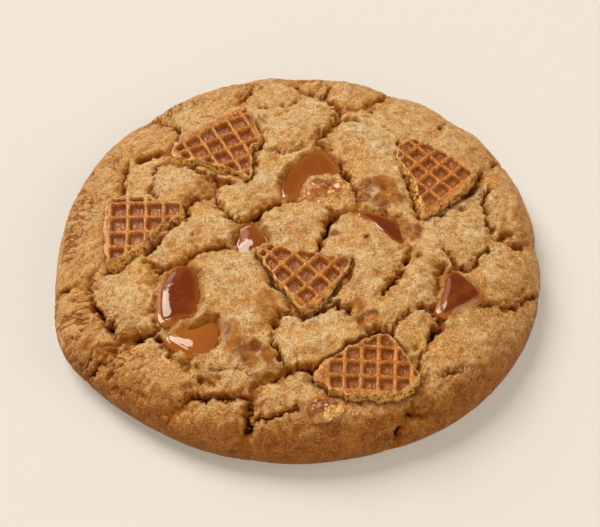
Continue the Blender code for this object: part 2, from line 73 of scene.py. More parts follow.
# Each main crack, as in the CAD source: depth, half width and the points (x, y) that it passes through.
MAIN_CRACKS = (
    (3.0, 1.1, ((9.7, 36), (9.7, 33), (10, 31.2), (8.5, 29.6), (7.6, 28), (6.2, 26.6), (5.7, 24.2),
                (3.6, 21.5))),
    (1.8, 1.0, ((-0.5, 50), (0.2, 45), (1.8, 42.4), (4.3, 41.6), (5.9, 40.2), (7.7, 38), (9.4, 36))),
    (2.2, 1.2, ((16.4, 35.6), (17.2, 38.3), (19.3, 41), (21.3, 44.5), (22, 46.5))),
    (2.0, 0.8, ((9.4, 35.9), (12, 35.7), (14.6, 36), (16.4, 35.6))),
    (1.8, 1.0, ((-14.2, 38.4), (-12.6, 41), (-11.2, 42.4), (-10, 46))),
    (1.8, 1.0, ((-9.4, 29.8), (-9, 27), (-8, 24.5), (-8.8, 21.5), (-9.5, 18))),
    (1.6, 0.8, ((-8.8, 21.2), (-6.3, 20), (-3.8, 19.3), (-1.8, 19.5), (0, 20.6), (2, 21.2))),
    (2.2, 0.8, ((5.2, 21.8), (7, 20), (8.3, 18), (9.7, 15.9), (10.7, 13), (11.4, 9.5), (13.4, 3.2),
                (12.8, 1.4))),
    (1.8, 0.8, ((12.8, 1.2), (10.4, 1.1), (8, 0), (7, -2), (6.4, -4), (5.8, -6), (4.3, -9.8))),
    (2.0, 0.8, ((-1, 5.2), (-3.5, 4.6), (-5.4, 3.4), (-7.4, 2), (-8.6, 0.2), (-11, -0.8), (-14, -1))),
    (1.8, 0.8, ((-14, -1), (-15, 0.3), (-16.6, 2.2), (-17.6, 4.5), (-18.2, 6.4))),
    (1.9, 0.8, ((-25.2, 2.4), (-23.6, 4.6), (-22.6, 5.6), (-20, 5.6), (-18.2, 6.4), (-17.6, 10.8))),
    (2.2, 0.9, ((-32.5, -11.5), (-30.3, -13.3), (-28.4, -14.8), (-24, -12.6), (-21.3, -10), (-15.2, -8.9))),
    (2.0, 0.9, ((-44.6, -13.6), (-43.8, -16.5), (-41.9, -21), (-40.2, -24), (-38.2, -26.6), (-36.2, -30.4))),
    (2.2, 0.9, ((-47, -33.4), (-43.8, -34), (-41.5, -33.6), (-39, -32.4), (-36, -30.3), (-29.6, -29.8))),
    (1.8, 0.9, ((-28.4, -14.8), (-29.4, -17), (-29.6, -20.5), (-29.2, -24), (-28.6, -27.5), (-29.2, -29.6))),
    (1.6, 0.8, ((-28.4, -31), (-26.4, -33.6), (-24.2, -36.4), (-21, -39.4), (-19.4, -41.6), (-16.6, -42.3))),
    (2.2, 0.8, ((-26, -46.6), (-22, -45), (-20.4, -44.1), (-17.5, -43.8), (-14, -44.5), (-9.3, -44.8))),
    (3.0, 1.1, ((-7.8, -42.6), (-9.2, -44.8), (-9.2, -47.6), (-10, -50), (-10.2, -52), (-9.6, -57))),
    (2.6, 0.9, ((-7.8, -42.6), (-6.2, -41.6), (-4.2, -40.8), (-2, -39.8), (0.8, -38.9), (5, -38.6))),
    (1.7, 0.8, ((-0.5, -26), (-3, -26.2), (-5, -29.2), (-5.4, -31.5), (-4.8, -34), (-2, -39.6))),
    (1.8, 0.8, ((6, -24.6), (8.6, -24.6), (10.6, -26), (13.6, -29.6), (15.4, -31), (19.6, -30))),
    (1.7, 0.8, ((23.8, -9.2), (24.2, -10.6), (22.8, -12.8), (21.6, -15.6), (20.2, -18.2), (16.8, -22))),
    (2.0, 0.9, ((31.6, -13.4), (30.2, -16), (29.4, -19), (29.2, -22), (28.6, -25), (30, -26.8))),
    (2.0, 1.0, ((30, -26.8), (28.4, -29), (27, -32), (25.4, -34), (24.4, -36.6), (25.6, -39.6))),
    (2.8, 0.9, ((24.4, -45.8), (22.8, -46.8), (21.9, -48.2), (20.5, -49.7), (19.6, -51.2), (18, -57))),
    (1.8, 0.7, ((53.5, -12), (49.6, -16.4), (47.5, -18.6), (44.2, -21.4), (42, -20.8), (38.6, -22))),
    (1.6, 0.8, ((43, -3.8), (41.8, -6.4), (39.2, -9.4), (36.4, -13.8), (34.4, -13.4), (31.4, -9.2))),
    (1.4, 0.8, ((42.6, 10), (41.3, 6), (41.9, 3.8), (42.2, 1), (42.8, -1.8), (43, -3.8))),
    (1.9, 0.8, ((43, -3.8), (45.5, -3.2), (47.2, -4.6), (49, -3.8), (51, -1.6), (57, 3))),
    (1.5, 0.7, ((49, 26), (46, 22.6), (44.6, 19.8), (43, 18.3), (42.2, 16), (41, 14.4))),
    (2.0, 0.8, ((-36, 19.3), (-31.8, 20.8), (-28.8, 21.4), (-27.7, 27), (-28.2, 29.6), (-32.4, 34),
                (-35, 38))),
    (1.6, 0.8, ((-39, 19.4), (-39.2, 15), (-39.7, 11.6), (-39.4, 8.4))),
    (1.6, 0.7, ((-53, -14), (-50, -14.6), (-48, -15.1), (-45.6, -14.2))),
)

# Finer cracks, which only this surface has: depth, half width and points.
FINE_CRACKS = (
    (1.6, 0.8, ((5.9, 40.2), (7, 43), (8, 46))),
    (1.4, 0.7, ((10.2, 31.1), (13, 31), (15.5, 31.4), (17.6, 32))),
    (1.3, 0.7, ((16.4, 35.6), (17.6, 34), (18, 32), (19.2, 30), (21.3, 27.7), (22.4, 25.6), (23.4, 22.8))),
    (1.4, 0.9, ((-9.4, 29.8), (-6.5, 30.8), (-4.2, 32.2), (-2.8, 33.8), (-2.2, 35.6), (-0.8, 37.2),
                (0.2, 39.6))),
    (1.2, 0.8, ((-9, 36), (-6.5, 35.9), (-4, 36.3), (-2.2, 35.6))),
    (1.3, 0.7, ((8, 0), (6.5, 2), (4.5, 3.6), (1.5, 4.9), (-1, 5.2))),
    (1.2, 0.6, ((12.8, 1.4), (15.5, 1.8), (19, 1.5), (22, -0.4), (24, 1))),
    (1.6, 0.8, ((-17.6, 10.8), (-15, 10.4), (-11.5, 10.2), (-10, 12))),
    (1.4, 0.8, ((-46, -14.5), (-44.5, -13.5), (-42.5, -12.5))),
    (1.0, 0.5, ((-9.2, -48.4), (-6.5, -48.8), (-4.5, -48.5), (-2.4, -47.6), (-0.4, -47.3), (1.6, -48.4))),
    (1.5, 0.9, ((19.6, -30), (21, -27.8), (23.6, -25.4), (26.4, -24.2), (28.6, -25))),
    (1.1, 0.5, ((25.6, -39.7), (27.6, -39.4), (30, -38.2), (32, -36.8), (33.6, -35.6))),
    (1.6, 0.6, ((22, -44.6), (20.4, -45.3), (18.6, -46), (17.5, -47.4), (17.4, -49))),
    (1.8, 0.8, ((43, -3.8), (44.4, -3), (46.6, -1.6), (48, -0.5))),
    (1.4, 0.8, ((-29.8, 17), (-31.4, 16.2), (-32.6, 14), (-33, 11), (-32.8, 8), (-31.2, 6.4))),
    (1.2, 0.7, ((-29.8, 20.4), (-29.4, 18.4), (-29.8, 17), (-27, 17.3))),
    (1.4, 0.5, ((-37, -38.4), (-35, -39.2), (-33, -40.2), (-31, -41.8), (-29.6, -42.5))),
    (1.0, 0.4, ((-24, -4), (-23.3, -6), (-22, -8.4))),
    (1.4, 0.5, ((-46, -30.2), (-43.6, -31.5), (-42, -31.7), (-40.6, -30.4))),
    (0.9, 0.5, ((-49, 7.6), (-46, 7.6))),
    (0.9, 0.5, ((-20, -38.5), (-16, -39.5), (-12, -39), (-8.5, -40), (-7.5, -42.5))),
    (0.9, 0.5, ((37, 3), (39.3, 0.2))),
    (0.9, 0.4, ((35, 33), (33.5, 30.5))),
    (0.8, 0.4, ((26, -42.5), (29, -42.5))),
    (0.8, 0.4, ((24.5, -9.8), (26.2, -10.7))),
)

# Hollows beside the wafer pieces, as in the CAD source.
WAFER_HOLLOWS = (
    (1.7, 1.5, ((-26.5, 15.6), (-21.5, 13.4), (-16.5, 10.6), (-12, 9.8), (-9.9, 12.5), (-9.6, 17))),
    (1.7, 1.5, ((-24.2, 1), (-27, -3), (-30.5, -7.5), (-33.5, -10.8), (-37, -12.4), (-40.5, -13.4))),
    (1.7, 1.4, ((-5.8, -18), (-2, -23.5), (1.6, -28), (5, -25.4), (8.6, -20.6), (11.6, -16.4),
                (12.2, -13.6))),
    (1.7, 1.5, ((24, 12), (25.6, 5), (27, -1.4), (31, 0.2), (35.5, 5), (39.5, 11), (41.2, 15))),
    (1.4, 1.3, ((6, -43.6), (9.5, -45), (14, -45.8), (19, -45.4), (23, -43.2), (25.6, -40.4))),
)

# Deep spots of the cracks (x, y), painted dark as shade through the crack mark.
PITS = (
    (-9, 21), (-4.5, 4), (-1, 5.5), (-9, -1), (8, -0.5), (6.5, -3), (6, -5.5), (5, -8), (1, -39), (-2, -39.6),
    (-4.5, -41), (-10, -51), (-29.5, -29.5), (-33, -30), (-36.5, -32), (-42, -21), (-40.2, -24), (-38, -26.7),
    (-28.5, -14.5), (-21.5, -10), (-14.8, 0.2), (-23, 5), (-15.5, 10), (-32, 20.7), (-35, 19.5), (-28, 29.5),
    (-30.7, 31.8), (42, 4), (42.5, -1), (45.4, -2.4), (48, -4), (46, -20), (48, -17.5), (22.7, -12.8),
    (21.5, -15.5), (26, -10.8), (19.5, -30.8), (17, -30.8), (9, -25.2), (10.5, -26), (-3.5, -26.5),
    (-4.7, -29), (9.8, 15.5), (11.3, 11.5), (11.5, 9.3), (17, 38), (8.5, 29.5), (6, 26), (5, 22),
    (14.9, -6.3), (-37.7, -35.7), (33.3, 30), (36.3, 3.5),
)

# Where caramel has soaked into the dough and left it wet (x, y, reach) or only brown.
WET_PATCHES = (
    (15.5, 8.5, 2.2), (19.5, 8.5, 2.8), (22, 5.0, 2.2), (18.5, 4.5, 2.4), (14.8, 5.2, 1.6), (25.5, -4.5, 2.2),
    (13, -24.5, 1.8), (15, -27.5, 1.6), (13.6, -28.5, 1.3), (-13, -30.5, 2.2), (-12.5, -34, 2.4),
    (-9.5, -35, 2.4), (-6, -36.5, 2.0), (-9.5, -38, 1.8), (8.0, -5.5, 1.2),
)
BROWN_STAINS = (
    (-6.5, -25.5, 3.0), (-6, -22.5, 2.4), (-20, 10, 2.8), (-19, 7, 2.2), (-24, -29.5, 3.5), (-25, -13.5, 2.6),
    (-31, -17, 1.8), (22, -3, 2.4), (30, -14, 2.2),
)

# The pieces on the dough, as in the CAD source.
WAFER_THICKNESS = 4.2
WELL_DEPTH = 1.0
RIB_WIDTH = 0.8
WAFERS = {
    "wafer_back_left": dict(
        middle=(-18.0, 20.5, 18.8), heading=28, lean=1, pitch=3.95, crossing=(1.4, 2.2), foot=(-130, 1.2),
        plain=((100, 5.4), (185, 8.4)),
        outline=(
            (-10.8, 2.6), (-9.9, 0.5), (-7.2, -0.6), (-5.8, -1.8), (-4.6, -2.9), (-3.5, -4.5), (-1.8, -6.4),
            (-0.6, -8.0), (0.2, -9.5), (1.0, -11.2), (2.2, -11.9), (3.6, -10.2), (4.6, -8.0), (5.6, -5.4),
            (6.6, -3.4), (10.0, -2.8), (10.3, -1.2), (10.0, 1.0), (10.9, 2.2), (11.3, 6.0), (11.2, 8.2),
            (10.0, 8.8), (6.0, 8.5), (3.0, 8.1), (-2.6, 6.9), (-7.6, 5.8), (-9.2, 4.6),
        ),
    ),
    "wafer_left": dict(
        middle=(-35.0, -1.5, 18.3), heading=2, lean=5, pitch=3.9, crossing=(2.0, 0.6), foot=(-45, 1.9),
        plain=((180, 6.1),),
        outline=(
            (-6.9, 6.2), (-7.0, 2.0), (-6.9, -3.0), (-6.6, -8.0), (-5.8, -11.6), (-4.6, -10.6), (-2.5, -9.5),
            (-0.8, -8.3), (1.2, -7.1), (2.4, -5.8), (3.6, -3.6), (5.0, -2.2), (7.0, -0.6), (9.0, 0.5),
            (10.4, 1.8), (10.2, 3.4), (9.2, 4.6), (6.0, 5.0), (2.6, 5.6), (1.8, 6.5), (-1.5, 6.4),
            (-4.0, 6.0),
        ),
    ),
    "wafer_centre": dict(
        middle=(1.5, -17.0, 19.6), heading=45, lean=7, pitch=3.7, crossing=(-2.1, 0.8), foot=(-110, 0.5),
        plain=((90, 9.6),),
        outline=(
            (-2.0, 11.4), (-3.3, 11.0), (-4.4, 10.0), (-4.2, 8.8), (-5.0, 6.0), (-5.6, 3.0), (-6.0, 0.0),
            (-6.6, -3.2), (-7.0, -6.8), (-4.0, -7.6), (0.0, -7.2), (3.0, -6.6), (6.0, -6.0), (8.5, -5.4),
            (8.9, -4.5), (7.6, -2.2), (6.0, 0.2), (4.4, 2.4), (3.1, 4.3), (1.6, 6.5), (0.6, 8.4),
            (-0.8, 11.0),
        ),
    ),
    "wafer_right": dict(
        middle=(31.0, 11.5, 18.6), heading=43.5, lean=4, pitch=3.6, crossing=(-0.6, 1.6), foot=(165, 1.5),
        plain=((-90, 5.3), (190, 8.4)),
        outline=(
            (-1.2, 11.4), (-2.2, 9.4), (-3.2, 7.5), (-4.0, 5.0), (-4.6, 2.4), (-6.2, 0.0), (-8.0, -2.4),
            (-9.6, -4.6), (-10.6, -6.4), (-7.0, -6.8), (-3.0, -7.0), (1.0, -6.9), (4.0, -6.4), (6.9, -5.6),
            (7.0, -3.0), (6.7, 0.0), (6.4, 3.0), (5.9, 6.0), (5.2, 8.4), (4.3, 11.6), (1.6, 11.8),
        ),
    ),
    "wafer_front": dict(
        middle=(14.5, -37.7, 15.9), heading=-3, lean=7, pitch=3.4, crossing=(-1.4, -0.1), foot=(-90, 0.4),
        plain=((195, 8.6),),
        outline=(
            (-11.2, -4.4), (-8.2, -5.6), (-7.6, -7.2), (-4.8, -7.0), (-4.2, -8.0), (-1.8, -8.0), (1.2, -7.4),
            (2.2, -8.1), (3.4, -7.4), (5.8, -7.2), (7.5, -6.0), (9.2, -5.0), (10.6, -2.8), (9.4, -1.0),
            (8.0, 1.2), (6.4, 3.8), (5.0, 5.4), (4.2, 6.2), (2.2, 6.6), (0.4, 5.6), (-1.8, 5.0), (-2.6, 3.8),
            (-4.6, 3.6), (-5.2, 2.0), (-7.0, 0.8), (-9.2, -0.3), (-10.4, -2.2),
        ),
    ),
}

# Each pool: height of its face, how far its edge curls down and over which reach, how dark its depth gets, how far
# a painted amber glow, standing for light through the caramel, runs in from its far side, how fast it rises to the
# right, and its outline (x, y).
POOLS = {
    "caramel_left": dict(
        face=17.0, curl=0.9, reach=0.85, darkness=0.9, glow=1.3, tilt=-0.06,
        outline=((-22.6, -13.2), (-25.0, -13.4), (-27.2, -15.4), (-28.4, -18.6), (-28.7, -22), (-28.4, -26),
                 (-27.8, -28.8), (-25.4, -28.2), (-23.4, -27.4), (-21.2, -27), (-20.5, -24.5), (-20.3, -21),
                 (-20.6, -17.6), (-21.4, -14.8)),
    ),
    "caramel_lower_left": dict(
        face=16.2, curl=1.0, reach=1.3, darkness=0.35, glow=1.8, tilt=-0.02,
        outline=((-18.6, -27.2), (-20.2, -28.9), (-23.6, -29.8), (-27.2, -31.0), (-26.4, -32.8), (-24, -34.6),
                 (-21.6, -36.2), (-18.6, -36.2), (-16.6, -34.6), (-15.8, -32), (-16.0, -29), (-17.0, -27.4)),
    ),
    "caramel_right": dict(
        face=16.6, curl=1.1, reach=1.0, darkness=1.0, glow=0.3, tilt=-0.04,
        outline=((33, -14.2), (31.4, -16.4), (30.8, -20), (29.8, -23.2), (29.4, -25.2), (31, -26.2), (34, -24.4),
                 (37, -22.6), (38.9, -20.6), (37.8, -18.2), (35.8, -16), (34.2, -14.2)),
    ),
    "caramel_back": dict(
        face=17.0, curl=0.35, reach=0.85, darkness=0.6, glow=1.0, tilt=-0.03,
        outline=((6.2, 20.2), (4.2, 20.8), (1.8, 18.8), (0, 16.2), (-2, 14), (-3.4, 11), (-3.8, 8), (-3.2, 6),
                 (-1, 5.8), (0.6, 6.6), (0.6, 8.4), (1.6, 10.8), (3.6, 12.4), (6.2, 13), (9.2, 13), (9.2, 15.6),
                 (7.8, 18)),
    ),
    "caramel_mid_right": dict(
        face=16.9, curl=0.3, reach=0.8, darkness=1.0, glow=0.0, tilt=-0.08,
        outline=((13.2, 1.2), (14.6, 0), (16.4, -1.2), (18, -3.4), (20, -5.8), (22, -7.4), (23.2, -7.6), (23.1, -4),
                 (22, -1.2), (20.2, -0.2), (17.6, 1), (15.2, 1.6)),
    ),
    "caramel_mid_left": dict(
        face=17.2, curl=1.2, reach=2.8, darkness=0.65, glow=0.4, tilt=0.12,
        outline=((-8.4, -1), (-11, -1.2), (-13.2, -2.6), (-13, -5), (-13.8, -7.2), (-12.8, -9.4), (-10.8, -10.6),
                 (-9.6, -9.4), (-8, -8.6), (-6.2, -8), (-5.8, -6.6), (-6.8, -4.6), (-8.2, -3.2)),
    ),
}

# Each chunk: middle (x, y, z), half sizes and the seed of its lumps, as in the CAD source.
CHUNKS = {
    "chunk_back": ((7.1, 6.8, 16.8), (5.2, 4.5, 2.9), 3),
    "chunk_front": ((5.5, -47.6, 12.8), (3.3, 2.6, 3.0), 8),
}
CHUNK_LUMPS = 0.34
DRY_SIDE = np.array((0.80, -0.50, -0.10))
BANK_WIDTH = 1.3
MOAT_DEPTH = 0.9
# Painted glow: the caramel's side away from the key light is painted a lighter amber.
FAR_SIDE = np.array((0.94, -0.34))

# ---------------------------------------------------------------------------------------------- noise


def lattice_value(corner, seed):
    """A repeatable number from -1 to 1 for each whole-numbered corner."""
    mixed = corner[0] * 374761393 + corner[1] * 668265263 + corner[2] * 1440662683
    mixed = (mixed + seed * 974634777) & 0xFFFFFFFF
    mixed = ((mixed ^ (mixed >> 13)) * 1274126177) & 0xFFFFFFFF
    return ((mixed ^ (mixed >> 16)) & 0xFFFF) / 32767.5 - 1.0


def smooth_noise(points, size, seed):
    """Smooth noise from -1 to 1 whose lumps are about this many millimetres apart."""
    scaled = np.asarray(points, float).T / size
    floor = np.floor(scaled)
    cell = floor.astype(np.int64)
    part = scaled - floor
    ease = part * part * (3.0 - 2.0 * part)
    total = np.zeros(scaled.shape[1])
    for corner in np.ndindex(2, 2, 2):
        weight = np.ones(scaled.shape[1])
        for axis in range(3):
            weight = weight * (ease[axis] if corner[axis] else 1.0 - ease[axis])
        total += weight * lattice_value([cell[axis] + corner[axis] for axis in range(3)], seed)
    return total


def layered_noise(points, size, seed, layers=3, keep=0.5):
    """Several sizes of noise on top of each other, each half the size of the last."""
    total, strength, most = np.zeros(len(points)), 1.0, 0.0
    for layer in range(layers):
        total += strength * smooth_noise(points, size / 2**layer, seed + 31 * layer)
        most += strength
        strength *= keep
    return total / most


def smooth_step(value, low, high):
    share = np.clip((value - low) / (high - low), 0.0, 1.0)
    return share * share * (3.0 - 2.0 * share)


# ------------------------------------------------------------------------------------- flat distances


def distance_to_path(points, path, reach=1e9):
    """Distance from each point to a path of straight stretches, or infinity beyond the reach."""
    path = np.array(path, float)
    nearest = np.full(len(points), np.inf)
    low, high = path.min(0) - reach, path.max(0) + reach
    near = np.nonzero(((points > low) & (points < high)).all(1))[0]
    some = points[near]
    found = np.full(len(near), np.inf)
    for start, end in zip(path[:-1], path[1:]):
        stretch = end - start
        share = np.clip(((some - start) @ stretch) / (stretch @ stretch), 0.0, 1.0)
        found = np.minimum(found, np.linalg.norm(some - start - share[:, None] * stretch, axis=1))
    nearest[near] = found
    return nearest


def outline_distance(points, outline):
    """Distance from each point to a closed outline, negative inside it."""
    outline = np.array(outline, float)
    nearest = distance_to_path(points, np.vstack([outline, outline[:1]]))
    x, y = points[:, 0], points[:, 1]
    inside = np.zeros(len(points), bool)
    for (x0, y0), (x1, y1) in zip(outline, np.roll(outline, -1, 0)):
        if y0 != y1:
            inside ^= ((y0 > y) != (y1 > y)) & (x < (x1 - x0) * (y - y0) / (y1 - y0) + x0)
    return np.where(inside, -nearest, nearest)


def rounded_outline(outline, times=2):
    """The outline with its corners cut again and again, which rounds them."""
    points = np.array(outline, float)
    for _ in range(times):
        ahead = np.roll(points, -1, 0)
        points = np.stack([points * 0.75 + ahead * 0.25, points * 0.25 + ahead * 0.75], 1).reshape(-1, 2)
    return points


# --------------------------------------------------------------------------------------------- meshes


def new_object(name, points, faces, marks=None):
    """A smooth object from points in millimetres, with a named number for each point."""
    mesh = bpy.data.meshes.new(name)
    corners = np.concatenate([np.asarray(face, np.int32).reshape(-1) for face in faces])
    sizes = np.concatenate([np.full(np.atleast_2d(face).shape[0], np.shape(face)[-1]) for face in faces])
    mesh.vertices.add(len(points))
    mesh.vertices.foreach_set("co", (np.asarray(points) * MM).astype(np.float32).reshape(-1))
    mesh.loops.add(len(corners))
    mesh.loops.foreach_set("vertex_index", corners)
    mesh.polygons.add(len(sizes))
    mesh.polygons.foreach_set("loop_start", (np.cumsum(sizes) - sizes).astype(np.int32))
    mesh.update(calc_edges=True)
    for label, values in (marks or {}).items():
        mesh.attributes.new(label, "FLOAT", "POINT").data.foreach_set("value", np.asarray(values, np.float32))
    mesh.shade_smooth()
    made = bpy.data.objects.new(name, mesh)
    bpy.context.scene.collection.objects.link(made)
    return made


def with_fewer_triangles(made, triangles):
    """Collapses edges where the surface is flattest until about this many triangles are left."""
    count = sum(len(face.vertices) - 2 for face in made.data.polygons)
    fewer = made.modifiers.new("fewer_triangles", "DECIMATE")
    fewer.ratio = min(1.0, triangles / count)
    graph = bpy.context.evaluated_depsgraph_get()
    reduced = bpy.data.meshes.new_from_object(made.evaluated_get(graph))
    made.modifiers.remove(fewer)
    full, made.data = made.data, reduced
    bpy.data.meshes.remove(full)
    made.data.shade_smooth()
    return made


def spread(keep, start):
    """The cells of one connected region that holds the start."""
    region = start & keep
    while True:
        wider = region.copy()
        wider[1:] |= region[:-1]
        wider[:-1] |= region[1:]
        wider[:, 1:] |= region[:, :-1]
        wider[:, :-1] |= region[:, 1:]
        wider &= keep
        if (wider == region).all():
            return region
        region = wider


def outlined_grid(outline, cell, ragged):
    """A square grid cut to an outline: points (x, y), square faces, edge loop, and distance to the outline."""
    outline = np.array(outline, float)
    low, high = outline.min(0) - 1.0, outline.max(0) + 1.0
    xs = np.arange(low[0], high[0] + cell, cell)
    ys = np.arange(low[1], high[1] + cell, cell)
    grid = np.stack(np.meshgrid(xs, ys), -1)
    flat = grid.reshape(-1, 2)
    field = (outline_distance(flat, outline) + ragged(flat)).reshape(grid.shape[:2])
    keep = (field[:-1, :-1] + field[1:, :-1] + field[:-1, 1:] + field[1:, 1:]) < 0
    start = np.zeros_like(keep)
    start[tuple(np.argwhere(keep)[np.argmin(field[:-1, :-1][keep])])] = True
    for _ in range(4):
        keep[1:, 1:] &= ~(keep[1:, 1:] & keep[:-1, :-1] & ~keep[1:, :-1] & ~keep[:-1, 1:])
        keep[1:, :-1] &= ~(keep[1:, :-1] & keep[:-1, 1:] & ~keep[1:, 1:] & ~keep[:-1, :-1])
    keep = spread(keep, start)
    outer = np.zeros_like(keep)
    outer[0], outer[-1], outer[:, 0], outer[:, -1] = True, True, True, True
    keep = ~spread(~keep, outer)
    number = np.arange(grid.shape[0] * grid.shape[1]).reshape(grid.shape[:2])
    quads = np.stack([number[:-1, :-1], number[:-1, 1:], number[1:, 1:], number[1:, :-1]], -1)[keep]
    ends = np.concatenate([np.stack([quads[:, k], quads[:, (k + 1) % 4]], 1) for k in range(4)])
    edges = set(map(tuple, ends.tolist()))
    following = {a: b for a, b in edges if (b, a) not in edges}
    loop = [min(following)]
    while following[loop[-1]] != loop[0]:
        loop.append(following[loop[-1]])
    slope_y, slope_x = np.gradient(field, cell)
    slope = np.stack([slope_x, slope_y], -1).reshape(-1, 2)
    length = np.maximum(np.linalg.norm(slope, axis=1), 0.3)
    shift = -(field.reshape(-1) / length**2)[:, None] * slope
    shift *= np.minimum(1.0, 0.9 * cell / np.maximum(np.linalg.norm(shift, axis=1), 1e-9))[:, None]
    flat[loop] += shift[loop]
    distance = field.reshape(-1)
    distance[loop] = 0.0
    used = np.unique(quads)
    renumber = np.full(len(flat), -1)
    renumber[used] = np.arange(len(used))
    outward = slope[loop] / length[loop][:, None]
    return flat[used], renumber[quads], renumber[loop], distance[used], outward


def outlined_solid(name, outline, cell, ragged, top, side_depths, side):
    """A closed solid: a top that is a height over the grid, side rows going down, and a flat underside."""
    flat, quads, loop, distance, outward = outlined_grid(outline, cell, ragged)
    height, marks = top(flat, distance)
    marks["depth"] = np.zeros(len(flat))
    rows = [np.column_stack([flat, height])]
    faces = [quads]
    labels = {key: [values] for key, values in marks.items()}
    edge, previous, count = rows[0][loop], loop, len(flat)
    for depth in side_depths:
        here = count + np.arange(len(loop))
        faces.append(np.stack([np.roll(previous, -1), previous, here, np.roll(here, -1)], 1))
        rows.append(side(edge, outward, depth))
        for key in labels:
            labels[key].append(np.full(len(loop), depth) if key == "depth" else marks[key][loop])
        previous, count = here, count + len(loop)
    faces.append(previous[::-1])
    labels = {key: np.concatenate(values) for key, values in labels.items()}
    return new_object(name, np.concatenate(rows), faces, labels)


# ---------------------------------------------------------------------------------------------- dough


def section_curve():
    """The dough's outer section from the middle of the top, over the rim, to the edge of the base."""
    turn = np.linspace(0.0, math.pi / 2, 400)
    upper_radius = DOUGH_RADIUS * np.sin(turn) ** (2.0 / DOME_POWER)
    upper_height = WIDEST_HEIGHT + (DOUGH_HEIGHT - WIDEST_HEIGHT) * np.cos(turn)
    lower_radius = BASE_RADIUS + (DOUGH_RADIUS - BASE_RADIUS) * np.cos(turn[1:])
    lower_height = WIDEST_HEIGHT * (1.0 - np.sin(turn[1:]))
    return np.concatenate([upper_radius, lower_radius]), np.concatenate([upper_height, lower_height])


def dough_grid(cells):
    """Positions, outward normals, face coordinates and ring shares of a square grid wrapped over the dough.

    A square's rings become circles, which leaves no pole. Face coordinates are x and y seen from above, and
    run on past the widest circle by the length of the underside, so that a crack can run down over the rim.
    """
    radius, height = section_curve()
    run = np.concatenate([[0.0], np.cumsum(np.hypot(np.diff(radius), np.diff(height)))])
    reach = np.maximum.accumulate(np.where(run <= run[np.argmax(radius)], radius, 0.0))
    reach = reach + np.maximum(run - run[np.argmax(radius)], 0.0)
    side = np.linspace(-1.0, 1.0, cells + 1)
    across, along = np.meshgrid(side, side)
    ring = np.maximum(np.abs(across), np.abs(along))
    wide = np.abs(across) >= np.abs(along)
    safe = np.where(ring > 0, ring, 1.0)
    quarter = math.pi / 4
    angle = np.where(wide, quarter * along / safe * np.sign(across), math.pi / 2 - quarter * across / safe)
    angle = np.where(wide & (across < 0), math.pi - quarter * along / safe, angle)
    angle = np.where(~wide & (along < 0), -math.pi / 2 + quarter * across / safe, angle)
    travelled = ring * run[-1]
    slope_radius = np.interp(travelled, run, np.gradient(radius, run))
    slope_height = np.interp(travelled, run, np.gradient(height, run))
    length = np.hypot(slope_radius, slope_height)
    plan = np.interp(travelled, run, radius)
    face = np.interp(travelled, run, reach)
    cos, sin = np.cos(angle), np.sin(angle)
    position = np.stack([plan * cos, plan * sin, np.interp(travelled, run, height)], -1)
    outward = np.stack([-slope_height * cos, -slope_height * sin, slope_radius], -1) / length[..., None]
    coordinates = np.stack([face * cos, face * sin], -1)
    return position.reshape(-1, 3), outward.reshape(-1, 3), coordinates.reshape(-1, 2), ring.reshape(-1)


def crack_relief(position, coordinates):
    """Depth of the cracks at each point, how far it lies in a valley, and the distance to the nearest main crack."""
    wander = np.stack([smooth_noise(position, 2.4, seed) for seed in (11, 12)], -1) * CRACK_WANDER
    teeth = np.stack([layered_noise(position, 1.6, seed, 3, 0.9) for seed in (13, 14)], -1) * 1.3
    width = 1.0 + 0.35 * smooth_noise(position, 4.5, 15)
    opening = 0.48 + 1.1 * smooth_noise(position, 3.8, 16) + 0.6 * smooth_noise(position, 1.4, 17)
    opening = np.clip(opening, 0.05, 1.5)
    opening *= 1.0 - 0.65 * smooth_step(-position[:, 2], -8.0, -3.0)
    nearest = np.full(len(position), 16.0)
    valley = np.zeros(len(position))
    cut = np.zeros(len(position))
    for depth, _, path in MAIN_CRACKS:
        away = distance_to_path(coordinates + wander + 0.9 * teeth, path, 16.0)
        nearest = np.minimum(nearest, away)
        valley = np.maximum(valley, min(1.0, depth / 2.2) * np.exp(-away / 4.0))
    for depth, half_width, path in MAIN_CRACKS + FINE_CRACKS + WAFER_HOLLOWS:
        away = distance_to_path(coordinates + wander + teeth, path, 5.0)
        reach = CRACK_NARROWING * half_width * width
        cut = np.maximum(cut, depth * opening * np.exp(-((away / reach) ** 2.2)))
    for x, y in PITS:
        away = np.hypot(coordinates[:, 0] + teeth[:, 0] - x, coordinates[:, 1] + teeth[:, 1] - y)
        cut = cut + 1.2 * np.exp(-((away / 0.75) ** 2))
    return cut, valley, nearest


def patch_share(coordinates, patches, position, seed):
    """From 0 to 1: how far each point lies inside round patches with an uneven edge."""
    wander = np.stack([layered_noise(position, 2.6, seed + k, 2) for k in (0, 1)], -1) * 1.1
    share = np.zeros(len(coordinates))
    for x, y, reach in patches:
        away = np.hypot(coordinates[:, 0] + wander[:, 0] - x, coordinates[:, 1] + wander[:, 1] - y)
        share = np.maximum(share, 1.0 - smooth_step(away, reach * 0.6, reach * 1.15))
    return share


def pool_field(position):
    """Distance to the nearest pool's shore, negative inside, and the height of that pool's edge."""
    nearest = np.full(len(position), 50.0)
    level = np.full(len(position), 16.0)
    for pool in POOLS.values():
        outline = pool["outline"]
        low, high = np.min(outline, 0) - 5.0, np.max(outline, 0) + 5.0
        near = np.nonzero(((position[:, :2] > low) & (position[:, :2] < high)).all(1))[0]
        away = outline_distance(position[near, :2], rounded_outline(outline))
        closer = away < nearest[near]
        nearest[near] = np.where(closer, away, nearest[near])
        level[near] = np.where(closer, pool["face"] - 0.8 * pool["curl"], level[near])
    return nearest + 0.8 * layered_noise(position, 1.6, 71, 3, 0.7), level


